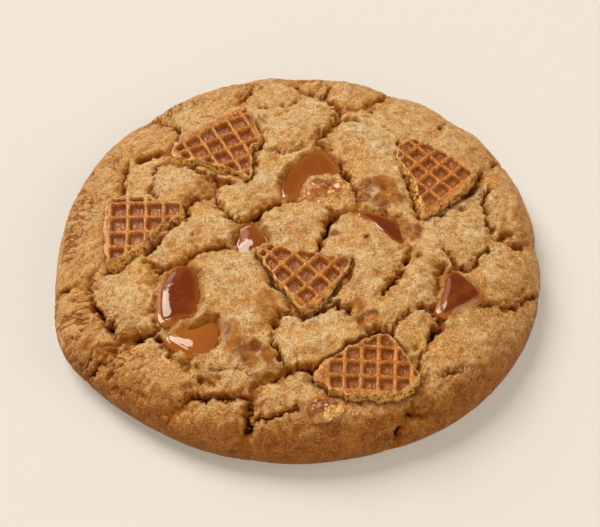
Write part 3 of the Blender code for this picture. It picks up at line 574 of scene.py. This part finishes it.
def sink_under_wafers(points):
    """Lowers the dough inside the outlines of the wafer pieces, and tells how close each point is to one, for a
    painted contact shadow.
    """
    contact_shade = np.zeros(len(points))
    for wafer in WAFERS.values():
        placement = wafer_placement(wafer)
        turned = np.array(placement.to_3x3())
        local = (points - np.array(placement.translation) / MM) @ turned
        near = np.nonzero((np.abs(local[:, :2]) < 15.0).all(1) & (local[:, 2] > -8.0))[0]
        away = outline_distance(local[near, :2], wafer["outline"])
        contact_shade[near] = np.maximum(contact_shade[near], 1.0 - smooth_step(away, 0.1, 1.2))
        inside = smooth_step(-away, -0.35, 0.5)
        in_front = smooth_step(wafer["middle"][1] - points[near, 1], -2.0, 4.0)
        moat = MOAT_DEPTH * (1.0 - smooth_step(away, 0.3, 2.4)) * in_front
        lowest = np.minimum(local[near, 2], -2.6)
        local[near, 2] += (lowest - local[near, 2]) * inside
        points[near] = local[near] @ turned.T + np.array(placement.translation) / MM
        points[near, 2] -= moat
    return points, contact_shade


def grid_normals(points, stride):
    """Normals of a square grid of points, smoothed over a stride of cells."""
    grid = points.reshape(GRID_CELLS + 1, GRID_CELLS + 1, 3)
    number = np.arange(GRID_CELLS + 1)
    low, high = np.maximum(number - stride, 0), np.minimum(number + stride, GRID_CELLS)
    normal = np.cross(grid[:, high] - grid[:, low], grid[high] - grid[low]).reshape(-1, 3)
    return normal / np.maximum(np.linalg.norm(normal, axis=1), 1e-9)[:, None]


def rim_creases(position, coordinates, angle, rim):
    """Short oblique wrinkles of the rim, deepest on the left and the back."""
    run = np.hypot(coordinates[:, 0], coordinates[:, 1])
    slanted = angle * DOUGH_RADIUS + 0.5 * run
    stretched = np.stack([slanted / 1.5, run / 3.2, position[:, 2] * 0.0], -1)
    ridges = 1.0 - np.abs(layered_noise(stretched, 1.0, 25, 3, 0.6)) / 0.16
    side = 0.25 + 0.75 * smooth_step(-np.cos(angle - math.radians(-35.0)), -0.2, 0.5)
    patches = smooth_step(smooth_noise(position, 5.0, 27), -0.35, 0.35)
    return np.maximum(ridges, 0.0) * rim * side * patches


def dough_surface():
    """Points of the dough with its cracks, plates, grain, wrinkled rim and hollows, and the marks for its paint."""
    position, outward, coordinates, ring = dough_grid(GRID_CELLS)
    angle = np.arctan2(position[:, 1], position[:, 0])
    cut, valley, nearest = crack_relief(position, coordinates)
    puff = PLATE_PUFF * (1.0 + 0.35 * smooth_noise(position, 9.0, 4))
    plates = puff * (1.0 - valley) - 0.35 * np.exp(-nearest / 0.5)
    swells = 0.5 * smooth_noise(position, 14.0, 5) + 0.4 * smooth_noise(position, 6.0, 6)
    wet = patch_share(coordinates, WET_PATCHES, position, 81)
    stain = patch_share(coordinates, BROWN_STAINS, position, 91)
    rim = smooth_step(np.hypot(coordinates[:, 0], coordinates[:, 1]), 38.0, 52.0)
    crease = rim_creases(position, coordinates, angle, rim)
    lumps = 0.20 * smooth_noise(position, 3.4, 20) + 0.18 * smooth_noise(position, 1.9, 21)
    grain = 0.14 * smooth_noise(position, 1.1, 22) + 0.18 * smooth_noise(position, 0.7, 23)
    lip = np.exp(-(((nearest - 0.9) / 1.1) ** 2))
    crumb = 0.60 * layered_noise(position, 1.2, 24, 2, 0.9) * np.maximum(lip, smooth_step(cut, 0.1, 0.7))
    relief = plates - cut + swells + lumps * (1 - 0.4 * rim) + (grain + crumb) * (1.0 - 0.7 * wet)
    relief = relief - 0.6 * crease + wet * 0.45 * layered_noise(position, 1.5, 26, 2, 0.6)
    calm = 1.0 - 0.65 * smooth_step(np.hypot(coordinates[:, 0], coordinates[:, 1]), 49.0, 54.0)
    above_base = np.clip(position[:, 2] / WIDEST_HEIGHT, 0.0, 1.0)
    moved = position + outward * (relief * calm * above_base)[:, None]
    share = np.clip(np.hypot(moved[:, 0], moved[:, 1]) / DOUGH_RADIUS, 0.0, 1.0) ** 4
    moved[:, :2] *= (1.0 + outline_change(angle) * share / DOUGH_RADIUS)[:, None]
    shore, level = pool_field(moved)
    floor = level - 1.5 * smooth_step(-shore, 0.0, 0.8)
    bank = smooth_step(shore, -0.6, BANK_WIDTH)
    moved[:, 2] = np.where(shore < BANK_WIDTH, floor + (moved[:, 2] - floor) * bank, moved[:, 2])
    moved[:, 2] += (grain + crumb) * (1.0 - bank) * smooth_step(shore, -0.2, 0.4)
    moved, contact_shade = sink_under_wafers(moved)
    moved[:, 2] = np.maximum(moved[:, 2], 0.0)
    moved[ring > 1.0 - 1e-9, 2] = 0.0
    normals = grid_normals(moved, 3)
    turned_away = normals @ SHADED_SIDE
    towards_front = smooth_step(-moved[:, 1], 2.0, 32.0)
    marks = {
        # Painted shade: amber in the valleys and cracks, near black where they are deepest.
        "crack": np.clip(np.maximum(cut / 2.0, 0.42 * smooth_step(valley, 0.58, 1.0)), 0.0, 1.5),
        # Painted shade on sides turned away from the light, with more of it towards the front.
        "turned_away_shade": smooth_step(turned_away, -0.08, 0.38) * (0.55 + 0.45 * towards_front),
        "open": smooth_step(nearest, 1.0, 6.0),
        # Painted shade: amber on slopes leaning away from the light.
        "amber": smooth_step((normals - outward) @ SLOPE_SHADE_SIDE, 0.0, 0.45),
        "crease": crease,
        "grain": np.clip(0.5 + 1.2 * (grain + 0.5 * lumps + crumb), 0.0, 1.0),
        "rim": rim,
        "wet": wet,
        # Painted contact shadow round the wafer pieces.
        "contact_shade": contact_shade,
        "soak": np.maximum(stain, 1.0 - smooth_step(shore, 0.0, 1.4)),
        "low": 1.0 - smooth_step(position[:, 2], 2.0, 9.0),
    }
    return moved, marks


def outline_change(angle):
    """How far the outline runs outside a circle in each direction, as in the CAD source."""
    change = OUTLINE_WANDER * (
        np.sin(2 * angle + 0.6) * 0.4 + np.sin(3 * angle + 2.1) * 0.35 + np.sin(5 * angle + 4.0) * 0.25
    )
    for direction, amount, width in OUTLINE_SWELLS:
        turn = (np.degrees(angle) - direction + 180.0) % 360.0 - 180.0
        change = change + amount * np.exp(-((turn / width) ** 2))
    return change


def make_dough():
    """The detailed skin, closed by an underside of rings, with fewer triangles where it is flat."""
    points, marks = dough_surface()
    row = GRID_CELLS + 1
    number = np.arange(row * row).reshape(row, row)
    quads = np.stack([number[:-1, :-1], number[:-1, 1:], number[1:, 1:], number[1:, :-1]], -1).reshape(-1, 4)
    edge = np.concatenate([number[0, :-1], number[:-1, -1], number[-1, :0:-1], number[:0:-1, 0]])
    faces = [quads]
    rows = [points]
    labels = {key: [values] for key, values in marks.items()}
    previous, count = edge, len(points)
    for share in UNDERSIDE_RINGS:
        ring = points[edge] * (share, share, 1.0)
        ring[:, 2] = 0.12 * (1.0 + smooth_noise(ring, 6.0, 41)) * (share < UNDERSIDE_RINGS[0])
        here = count + np.arange(len(edge))
        faces.append(np.stack([np.roll(previous, -1), previous, here, np.roll(here, -1)], 1))
        rows.append(ring)
        for key in labels:
            labels[key].append(np.full(len(edge), 1.0 if key == "low" else 0.0))
        previous, count = here, count + len(edge)
    faces.append(previous[::-1])
    labels = {key: np.concatenate(values) for key, values in labels.items()}
    dough = new_object("cookie_dough", np.concatenate(rows), faces, labels)
    return with_fewer_triangles(dough, DOUGH_TRIANGLES)


# --------------------------------------------------------------------------------------------- wafers


def wafer_placement(wafer):
    """Turned by its heading about its own middle, then leaned towards -Y."""
    place = Matrix.Translation(Vector(wafer["middle"]) * MM)
    lean = Matrix.Rotation(math.radians(wafer["lean"]), 4, "X")
    return place @ lean @ Matrix.Rotation(math.radians(wafer["heading"]), 4, "Z")


def wafer_top(wafer, seed):
    """The height of the waffle pattern, and its marks, as a function of (u, v) and the distance to the edge."""
    pitch, (cross_u, cross_v) = wafer["pitch"], wafer["crossing"]

    def top(flat, distance):
        solid = np.column_stack([flat, np.full(len(flat), seed * 7.3)])
        wobble = np.stack([smooth_noise(solid, 2.2, seed + k) for k in (0, 1)], -1) * 0.13
        local = (flat + wobble - (cross_u, cross_v)) / pitch
        cell = np.floor(local)
        from_middle = np.abs(local - cell - 0.5) * pitch
        half = (pitch - RIB_WIDTH) / 2
        corner = 0.45
        over = from_middle - half + corner
        box = np.linalg.norm(np.maximum(over, 0.0), axis=1) + np.minimum(over.max(1), 0.0) - corner
        cells = np.column_stack([cell, np.zeros(len(flat))])
        vary = 1.0 + 0.15 * lattice_value([cells[:, k].astype(np.int64) for k in range(3)], seed + 5)
        well = smooth_step(-box, -0.10, 0.48)
        border = smooth_step(-distance + 0.45 * smooth_noise(solid, 2.1, seed + 9), 0.0, 0.9)
        for direction, start in wafer["plain"]:
            turn = math.radians(direction)
            border = border * smooth_step(start - flat @ (math.cos(turn), math.sin(turn)), -0.3, 0.5)
        floor = 0.06 * smooth_noise(solid, 0.7, seed + 11) + 0.05 * smooth_noise(solid, 0.4, seed + 12)
        height = -WELL_DEPTH * vary * well * border
        height += floor * (0.5 + 0.5 * well) + 0.07 * smooth_noise(solid, 2.4, seed + 13)
        height -= 0.30 * np.exp(distance / 0.16) + 0.10 * smooth_step(-box, -0.35, 0.1) * border
        marks = {
            "well": well * border,
            "edge": np.exp(np.minimum(distance, 0.0) / 0.3),
            "shade": smooth_step(-box, 0.0, 0.5) * (1.0 - smooth_step(-box, 0.55, 1.0)) * border,
        }
        return height, marks

    return top


def wafer_side(wafer, seed):
    """Where a point of the broken side lies at a depth: crumbly, and running out towards its foot."""
    direction, amount = wafer["foot"]
    away = np.array((math.cos(math.radians(direction)), math.sin(math.radians(direction))))

    def side(edge, outward, depth):
        share = depth / WAFER_THICKNESS
        facing = np.clip(outward @ away, 0.0, 1.0)
        moved = edge.copy()
        moved[:, :2] += away * (amount * share * facing)[:, None]
        moved[:, 2] = edge[:, 2] * (1.0 - share) - depth
        rough = 0.42 * layered_noise(moved, 1.1, seed + 21, 3, 0.7) + 0.16 * smooth_noise(moved, 2.6, seed + 24)
        layer = -0.16 * math.exp(-(((share - 0.45) / 0.12) ** 2))
        moved[:, :2] += outward * ((rough + layer) * min(1.0, depth / 0.4))[:, None]
        return moved

    return side


def make_wafer(name, wafer, seed):
    cell = 0.13

    def ragged(flat):
        solid = np.column_stack([flat, np.full(len(flat), seed * 3.1)])
        return 0.6 * layered_noise(solid, 1.4, seed + 31, 3, 0.8)

    depths = np.arange(1, 27) * (WAFER_THICKNESS / 26)
    made = outlined_solid(
        name + "_baked", rounded_outline(wafer["outline"], 1), cell, ragged,
        wafer_top(wafer, seed), depths, wafer_side(wafer, seed),
    )
    made.data.transform(wafer_placement(wafer))
    return made


# -------------------------------------------------------------------------------------------- caramel


def make_pool(name, face, curl, reach, darkness, glow, tilt, outline, seed):
    """A puddle that bulges a little and curls down to its shore, with a bead along it, under the dough's banks."""

    def ragged(flat):
        return np.full(len(flat), -0.7)

    def top(flat, distance):
        inside = np.maximum(-distance - 0.7, 0.0)
        around = np.arange(16) * (math.pi / 8)
        steps = np.stack([np.cos(around), np.sin(around)], -1) * np.tile((0.8, 1.6), 8)[:, None]
        blurred = np.mean([outline_distance(flat + step, outline) for step in steps], 0)
        solid = np.column_stack([flat, np.full(len(flat), 4.0)])
        height = face + 0.15 - curl * np.exp(-np.maximum(-blurred, 0.0) / reach)
        height -= np.clip(0.7 + distance, 0.0, 0.7) * 0.5
        height += tilt * (flat[:, 0] - np.mean(outline, 0)[0])
        height += 0.13 * np.exp(-(((inside - 0.45) / 0.2) ** 2)) * (0.6 + 0.4 * smooth_noise(solid, 2.0, seed + 2))
        height += 0.05 * smooth_noise(solid, 3.4, seed) + 0.02 * smooth_noise(solid, 1.3, seed + 1)
        # Painted glow: the amber shifted in from the far side stands for light coming through the caramel; the
        # darkening with depth is its own colour.
        shaded = np.maximum(-outline_distance(flat + glow * FAR_SIDE, outline), 0.0)
        deep = 1.0 - np.exp(-np.minimum(5.0 * inside, shaded + 1.5 * inside) / 1.1)
        return height, {"deep": deep * darkness}

    def side(edge, outward, depth):
        moved = edge.copy()
        moved[:, 2] -= depth
        return moved

    return outlined_solid(
        name + "_puddle", rounded_outline(outline), 0.11, ragged, top, (0.5, 1.0), side
    )


def make_chunk(name, middle, half_sizes, seed):
    """A lump of caramel and wafer crumbs, wet all over."""
    shape = bmesh.new()
    bmesh.ops.create_icosphere(shape, subdivisions=6, radius=1.0)
    directions = np.array([vertex.co.normalized() for vertex in shape.verts])
    faces = [np.array([[vertex.index for vertex in face.verts] for face in shape.faces])]
    shape.free()
    lumps = 1.0 + CHUNK_LUMPS * smooth_noise(directions, 0.62, seed)
    points = np.array(middle) + directions * np.array(half_sizes) * lumps[:, None]
    folds = 0.5 * smooth_noise(points, 2.4, seed + 1) + 0.22 * smooth_noise(points, 1.3, seed + 2)
    dry = smooth_step(directions @ DRY_SIDE + 0.6 * smooth_noise(points, 1.8, seed + 4), 0.10, 0.45)
    crumbs = 0.08 * smooth_noise(points, 0.6, seed + 3) + 0.55 * dry * layered_noise(points, 1.1, seed + 5, 2, 0.8)
    points = points + directions * (folds + crumbs)[:, None]
    return new_object(name + "_lump", points, faces, {"fold": 0.5 + 0.5 * folds, "dry": dry})


# ------------------------------------------------------------------------------------------ materials


class Paint:
    """A material in the making: each method adds one node and returns its output."""

    def __init__(self, name):
        self.material = bpy.data.materials.new(name)
        self.material.use_nodes = True
        self.tree = self.material.node_tree
        self.shader = self.tree.nodes["Principled BSDF"]
        self.place = self.tree.nodes.new("ShaderNodeTexCoord").outputs["Object"]

    def put(self, socket, value):
        if isinstance(value, bpy.types.NodeSocket):
            self.tree.links.new(value, socket)
        else:
            socket.default_value = value

    def set(self, **values):
        """Sets or links the shader's sockets, named with underscores for spaces."""
        for label, value in values.items():
            self.put(self.shader.inputs[label.replace("_", " ")], value)

    def mark(self, name):
        node = self.tree.nodes.new("ShaderNodeAttribute")
        node.attribute_name = name
        return node.outputs["Fac"]

    def moved_place(self, stretch):
        node = self.tree.nodes.new("ShaderNodeMapping")
        self.put(node.inputs["Vector"], self.place)
        node.inputs["Scale"].default_value = stretch
        return node.outputs["Vector"]

    def noise(self, size, detail=2.0, roughness=0.5, distortion=0.0, stretch=None):
        """Noise around 0.5 whose lumps are about this many millimetres apart."""
        node = self.tree.nodes.new("ShaderNodeTexNoise")
        self.put(node.inputs["Vector"], self.moved_place(stretch) if stretch else self.place)
        node.inputs["Scale"].default_value = 1.0 / (size * MM)
        node.inputs["Detail"].default_value = detail
        node.inputs["Roughness"].default_value = roughness
        node.inputs["Distortion"].default_value = distortion
        return node.outputs["Fac"]

    def cells(self, size, feature="F1"):
        """Distance to the nearest of points scattered this many millimetres apart, in cells."""
        node = self.tree.nodes.new("ShaderNodeTexVoronoi")
        node.feature = feature
        self.put(node.inputs["Vector"], self.place)
        node.inputs["Scale"].default_value = 1.0 / (size * MM)
        return node.outputs["Distance"]

    def between(self, value, low, high, new_low=0.0, new_high=1.0):
        """Maps low..high smoothly to new_low..new_high."""
        node = self.tree.nodes.new("ShaderNodeMapRange")
        node.interpolation_type = "SMOOTHSTEP"
        for label, number in zip(("Value", "From Min", "From Max", "To Min", "To Max"),
                                 (value, low, high, new_low, new_high)):
            self.put(node.inputs[label], number)
        return node.outputs["Result"]

    def math(self, operation, first, second=0.0):
        node = self.tree.nodes.new("ShaderNodeMath")
        node.operation = operation
        self.put(node.inputs[0], first)
        self.put(node.inputs[1], second)
        return node.outputs[0]

    def mix(self, share, first, second, blend="MIX"):
        """A colour between two colours."""
        node = self.tree.nodes.new("ShaderNodeMix")
        node.data_type = "RGBA"
        node.blend_type = blend
        self.put(node.inputs[0], share)
        for socket, value in ((node.inputs[6], first), (node.inputs[7], second)):
            self.put(socket, value if isinstance(value, bpy.types.NodeSocket) else (*value, 1.0))
        return node.outputs[2]

    def bump(self, height, distance, strength=1.0, normal=None):
        node = self.tree.nodes.new("ShaderNodeBump")
        self.put(node.inputs["Height"], height)
        node.inputs["Distance"].default_value = distance * MM
        node.inputs["Strength"].default_value = strength
        if normal:
            self.put(node.inputs["Normal"], normal)
        return node.outputs["Normal"]


def dough_material():
    """Pale grainy plates with partly painted light and shade on their grain, a browner rim, painted shade as amber
    slopes, darker sides turned from the light, amber cracks with dark depths, darker creases and pits and a contact
    shadow round the wafers, and wet caramel patches.
    """
    p = Paint("baked_dough")
    crack, turned_away_shade, crease, rim = p.mark("crack"), p.mark("turned_away_shade"), p.mark("crease"), p.mark("rim")
    grain, wet, soak, low = p.mark("grain"), p.mark("wet"), p.mark("soak"), p.mark("low")
    contact_shade, open_top, amber = p.mark("contact_shade"), p.mark("open"), p.mark("amber")
    mottle = p.noise(9.0, 3.0)
    patchy = p.noise(3.2, 3.0, 0.6)
    fine = p.noise(0.44, 3.0, 0.72, 0.4)
    wrinkle = p.math("ABSOLUTE", p.math("SUBTRACT", p.noise(1.5, 3.0, 0.65, 1.2), 0.5))
    wrinkle = p.math("MULTIPLY", p.between(wrinkle, 0.045, 0.0), p.between(p.noise(2.6, 2.0), 0.42, 0.60))
    # Pale where the grain stands up and orange in its hollows: partly the crumb's own colours, partly painted light
    # and shade.
    tone = p.between(p.math("ADD", p.math("MULTIPLY", fine, 0.6), p.math("MULTIPLY", grain, 0.4)), 0.28, 0.66)
    pale = p.mix(p.between(mottle, 0.38, 0.62), (0.98, 0.665, 0.265), (1.0, 0.835, 0.480))
    pale = p.mix(p.math("MULTIPLY", open_top, 0.5), pale, (1.0, 0.850, 0.510))
    pale = p.mix(p.between(p.noise(1.7, 3.0, 0.6), 0.46, 0.64, 0.0, 0.6), pale, (0.96, 0.580, 0.190))
    colour = p.mix(tone, (0.77, 0.330, 0.055), pale)
    colour = p.mix(p.math("MULTIPLY", rim, p.between(patchy, 0.30, 0.60, 1.0, 0.55)), colour,
                   p.mix(tone, (0.54, 0.200, 0.030), (0.88, 0.450, 0.125)))
    # Pale cream flecks on the crests of the bump grain: partly real pale grains, partly painted highlights standing
    # in for glints. Dark orange specks in its hollows: partly real specks, partly painted shade.
    colour = p.mix(p.between(fine, 0.55, 0.68, 0.0, 0.7), colour, (1.0, 0.86, 0.56))
    colour = p.mix(p.between(fine, 0.45, 0.34, 0.0, 0.85), colour, (0.56, 0.160, 0.017))
    # Painted shade: darker orange-brown along the wrinkle grooves.
    colour = p.mix(p.math("MULTIPLY", wrinkle, 0.65), colour, (0.54, 0.155, 0.016))
    # Painted shade: amber on slopes that lean away from the light.
    colour = p.mix(p.math("MULTIPLY", amber, 0.75), colour, p.mix(tone, (0.46, 0.150, 0.016), (0.84, 0.400, 0.080)))
    # Painted shade: a darker, saturated colour for sides turned away from the light, with pale and dark specks for
    # its lit and shaded grain.
    turned_away_colour = p.mix(tone, (0.27, 0.064, 0.006), (0.62, 0.225, 0.030))
    turned_away_colour = p.mix(p.between(fine, 0.55, 0.70, 0.0, 0.6), turned_away_colour, (0.72, 0.330, 0.080))
    turned_away_colour = p.mix(p.between(fine, 0.45, 0.30, 0.0, 0.8), turned_away_colour, (0.15, 0.030, 0.003))
    colour = p.mix(p.math("MULTIPLY", turned_away_shade, p.between(patchy, 0.3, 0.7, 1.0, 0.85)), colour, turned_away_colour)
    colour = p.mix(p.between(low, 0.2, 1.0, 0.0, 0.6), colour, (0.34, 0.100, 0.012))
    # Painted shade: darker orange-brown in the rim's creases.
    colour = p.mix(p.between(crease, 0.05, 0.5, 0.0, 0.85), colour, (0.42, 0.130, 0.018))
    # Painted shade: amber crack walls and valleys, near black in the deepest cracks and spots.
    colour = p.mix(p.between(crack, 0.08, 0.45, 0.0, 0.90), colour, (0.47, 0.145, 0.014))
    colour = p.mix(p.between(crack, 0.50, 0.95, 0.0, 0.92), colour, (0.12, 0.020, 0.003))
    colour = p.mix(p.math("MULTIPLY", soak, 0.70), colour, p.mix(tone, (0.34, 0.095, 0.010), (0.66, 0.270, 0.040)))
    soaked = p.mix(p.between(patchy, 0.35, 0.65), (0.25, 0.056, 0.006), (0.62, 0.215, 0.025))
    colour = p.mix(p.math("MULTIPLY", wet, 0.92), colour, soaked)
    # Painted shadow: dark brown where the dough meets a wafer piece.
    colour = p.mix(p.math("MULTIPLY", contact_shade, 0.75), colour, (0.17, 0.042, 0.006))
    # Painted shade: small pits of the bump grain are painted darker.
    pores = p.between(p.cells(1.4), 0.05, 0.15)
    colour = p.mix(p.between(pores, 0.0, 0.8, 0.65, 0.0), colour, (0.28, 0.075, 0.010))
    height = p.math("ADD", p.math("MULTIPLY", fine, 1.6), p.math("MULTIPLY", pores, 0.3))
    height = p.math("SUBTRACT", height, p.math("MULTIPLY", wrinkle, 0.35))
    p.set(
        Base_Color=colour,
        Roughness=p.between(wet, 0.0, 0.8, 0.50, 0.14),
        Coat_Weight=p.between(wet, 0.2, 0.8, 0.0, 0.15),
        Coat_Roughness=0.05,
        Specular_IOR_Level=0.30,
        Specular_Tint=(1.0, 0.72, 0.40, 1.0),
        Normal=p.bump(height, 0.80, 1.0),
        Subsurface_Weight=0.15,
        Subsurface_Radius=(1.0, 0.35, 0.12),
        Subsurface_Scale=0.0008,
    )
    return p.material


def wafer_material():
    """Orange-brown ribs, browner wells with a slight gloss, and pale crumbly edges and sides."""
    p = Paint("baked_waffle")
    well, edge, depth, shade = p.mark("well"), p.mark("edge"), p.mark("depth"), p.mark("shade")
    grain = p.noise(0.40, 3.0, 0.65)
    patchy = p.noise(1.9, 3.0, 0.6)
    side = p.between(depth, 0.05, 0.35)
    colour = p.mix(p.between(patchy, 0.35, 0.65), (0.27, 0.070, 0.007), (0.43, 0.138, 0.016))
    colour = p.mix(p.math("MULTIPLY", p.between(grain, 0.54, 0.64), 0.7), colour, (0.76, 0.40, 0.095))
    floor = p.mix(p.between(grain, 0.35, 0.65), (0.20, 0.052, 0.009), (0.35, 0.106, 0.023))
    colour = p.mix(p.between(well, 0.25, 0.85), colour, floor)
    colour = p.mix(p.math("MULTIPLY", shade, 0.5), colour, (0.24, 0.065, 0.012))
    colour = p.mix(p.math("MULTIPLY", edge, p.between(patchy, 0.40, 0.60, 0.3, 1.0)), colour, (0.80, 0.480, 0.150))
    crumb = p.mix(p.between(grain, 0.36, 0.58), (0.44, 0.160, 0.022), (0.84, 0.480, 0.130))
    crumb = p.mix(p.between(p.noise(1.0, 2.0, 0.5), 0.53, 0.62), crumb, (0.22, 0.075, 0.015))
    colour = p.mix(side, colour, crumb)
    gloss = p.between(grain, 0.35, 0.65, 0.22, 0.38)
    height = p.math("ADD", grain, p.math("MULTIPLY", p.noise(0.25, 2.0), 0.5))
    p.set(
        Base_Color=colour,
        Roughness=p.math("ADD", gloss, p.math("MULTIPLY", side, 0.45)),
        Coat_Weight=p.between(side, 0.0, 1.0, 0.25, 0.0),
        Coat_Roughness=0.10,
        Specular_IOR_Level=0.45,
        Specular_Tint=(1.0, 0.72, 0.45, 1.0),
        Normal=p.bump(height, 0.18, 0.8),
    )
    return p.material


def caramel_material():
    """Clear red-brown caramel, darker where it is deep, amber at its shore, and amber on its far side as a painted
    glow of light through it.
    """
    p = Paint("caramel")
    deep = p.mark("deep")
    cloud = p.noise(4.0, 2.0, 0.5, 0.6)
    colour = p.mix(p.between(deep, 0.15, 1.0), (0.32, 0.096, 0.012), (0.130, 0.020, 0.003))
    colour = p.mix(p.between(cloud, 0.50, 0.70, 0.0, 0.3), colour, (0.30, 0.085, 0.011))
    p.set(
        Base_Color=colour,
        Roughness=0.06,
        Specular_IOR_Level=0.60,
        Specular_Tint=(1.0, 0.90, 0.78, 1.0),
        Normal=p.bump(p.noise(1.5, 2.0), 0.07, 0.5),
    )
    return p.material


def chunk_material():
    """Wet lumps of caramel over crumbs."""
    p = Paint("caramel_lump")
    fold, dry = p.mark("fold"), p.mark("dry")
    cloud = p.noise(1.4, 3.0, 0.6, 0.5)
    grain = p.noise(0.45, 3.0, 0.7)
    colour = p.mix(p.between(fold, 0.3, 0.75), (0.20, 0.042, 0.007), (0.44, 0.16, 0.028))
    colour = p.mix(p.between(cloud, 0.52, 0.66, 0.0, 0.7), colour, (0.60, 0.27, 0.065))
    crumb = p.mix(p.between(grain, 0.38, 0.60), (0.44, 0.160, 0.022), (0.88, 0.580, 0.210))
    colour = p.mix(dry, colour, crumb)
    p.set(
        Base_Color=colour,
        Roughness=p.between(dry, 0.2, 0.8, 0.12, 0.6),
        Coat_Weight=p.between(dry, 0.2, 0.8, 0.4, 0.0),
        Coat_Roughness=0.08,
        Specular_IOR_Level=0.50,
        Specular_Tint=(1.0, 0.80, 0.58, 1.0),
        Normal=p.bump(grain, 0.10, 0.6),
    )
    return p.material


# ---------------------------------------------------------------------------------------------- stage


def make_floor():
    side = 3000.0
    corners = [(-side, -side, 0.0), (side, -side, 0.0), (side, side, 0.0), (-side, side, 0.0)]
    floor = new_object("floor", corners, [np.arange(4)])
    p = Paint("cream_paper")
    p.set(
        Base_Color=(0.46, 0.450, 0.432, 1.0),
        Roughness=0.9,
        Specular_IOR_Level=0.15,
        Emission_Color=(1.0, 0.915, 0.775, 1.0),
        Emission_Strength=0.238,
    )
    floor.data.materials.append(p.material)


def add_light(name, direction, distance, size, power, colour):
    """A round light that points at the middle of the cookie."""
    data = bpy.data.lights.new(name, "AREA")
    data.shape = "DISK"
    data.size = size
    data.energy = power
    data.color = colour
    light = bpy.data.objects.new(name, data)
    bpy.context.scene.collection.objects.link(light)
    towards = Vector(direction).normalized()
    light.location = towards * distance
    light.rotation_mode = "QUATERNION"
    light.rotation_quaternion = towards.to_track_quat("Z", "Y")


def light_scene():
    world = bpy.data.worlds.new("studio")
    world.use_nodes = True
    back = world.node_tree.nodes["Background"]
    back.inputs["Color"].default_value = (1.0, 0.76, 0.52, 1.0)
    back.inputs["Strength"].default_value = 0.21
    bpy.context.scene.world = world
    add_light("key", (-0.44, 0.43, 0.79), 8.0, 5.2, 690.0, (1.0, 0.955, 0.895))
    add_light("window", (-0.55, 0.68, 0.45), 8.0, 5.5, 140.0, (1.0, 0.94, 0.87))
    add_light("fill", (0.80, -0.20, 0.56), 8.0, 6.0, 215.0, (1.0, 0.93, 0.83))
    add_light("front", (-0.10, -0.80, 0.50), 8.0, 6.0, 180.0, (1.0, 0.89, 0.76))


CAMERA_ELEVATION = math.radians(50.0)
CAMERA_DISTANCE = 0.323
CAMERA_LENS = 85.0
CAMERA_MOVE_RIGHT = 0.00057
CAMERA_MOVE_UP = 0.00091


def add_camera():
    """Looks down at the cookie from the front."""
    data = bpy.data.cameras.new("camera")
    data.lens = CAMERA_LENS
    data.sensor_width = 36.0
    data.clip_start = 0.01
    data.clip_end = 20.0
    camera = bpy.data.objects.new("camera", data)
    bpy.context.scene.collection.objects.link(camera)
    sin, cos = math.sin(CAMERA_ELEVATION), math.cos(CAMERA_ELEVATION)
    back, up = Vector((0.0, -cos, sin)), Vector((0.0, sin, cos))
    camera.location = back * CAMERA_DISTANCE + up * CAMERA_MOVE_UP + Vector((CAMERA_MOVE_RIGHT, 0.0, 0.0))
    camera.rotation_mode = "QUATERNION"
    camera.rotation_quaternion = back.to_track_quat("Z", "Y")
    bpy.context.scene.camera = camera


# ----------------------------------------------------------------------------------------------- main


def finished(piece, node, material):
    """The piece stands for its CAD node, with its own material."""
    piece.data.materials.clear()
    piece.data.materials.append(material)
    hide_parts(node)
    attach(piece, "root")


def main():
    bpy.context.scene.view_settings.view_transform = "Standard"
    add_camera()
    make_floor()
    light_scene()
    finished(make_dough(), "dough", dough_material())
    waffle = wafer_material()
    for seed, (name, wafer) in enumerate(WAFERS.items()):
        finished(make_wafer(name, wafer, 100 + 50 * seed), name, waffle)
    caramel = caramel_material()
    for seed, (name, pool) in enumerate(POOLS.items()):
        piece = make_pool(name, seed=400 + 10 * seed, **pool)
        finished(piece, name, caramel)
    lump = chunk_material()
    for name, (middle, half_sizes, seed) in CHUNKS.items():
        finished(make_chunk(name, middle, half_sizes, seed), name, lump)


main()
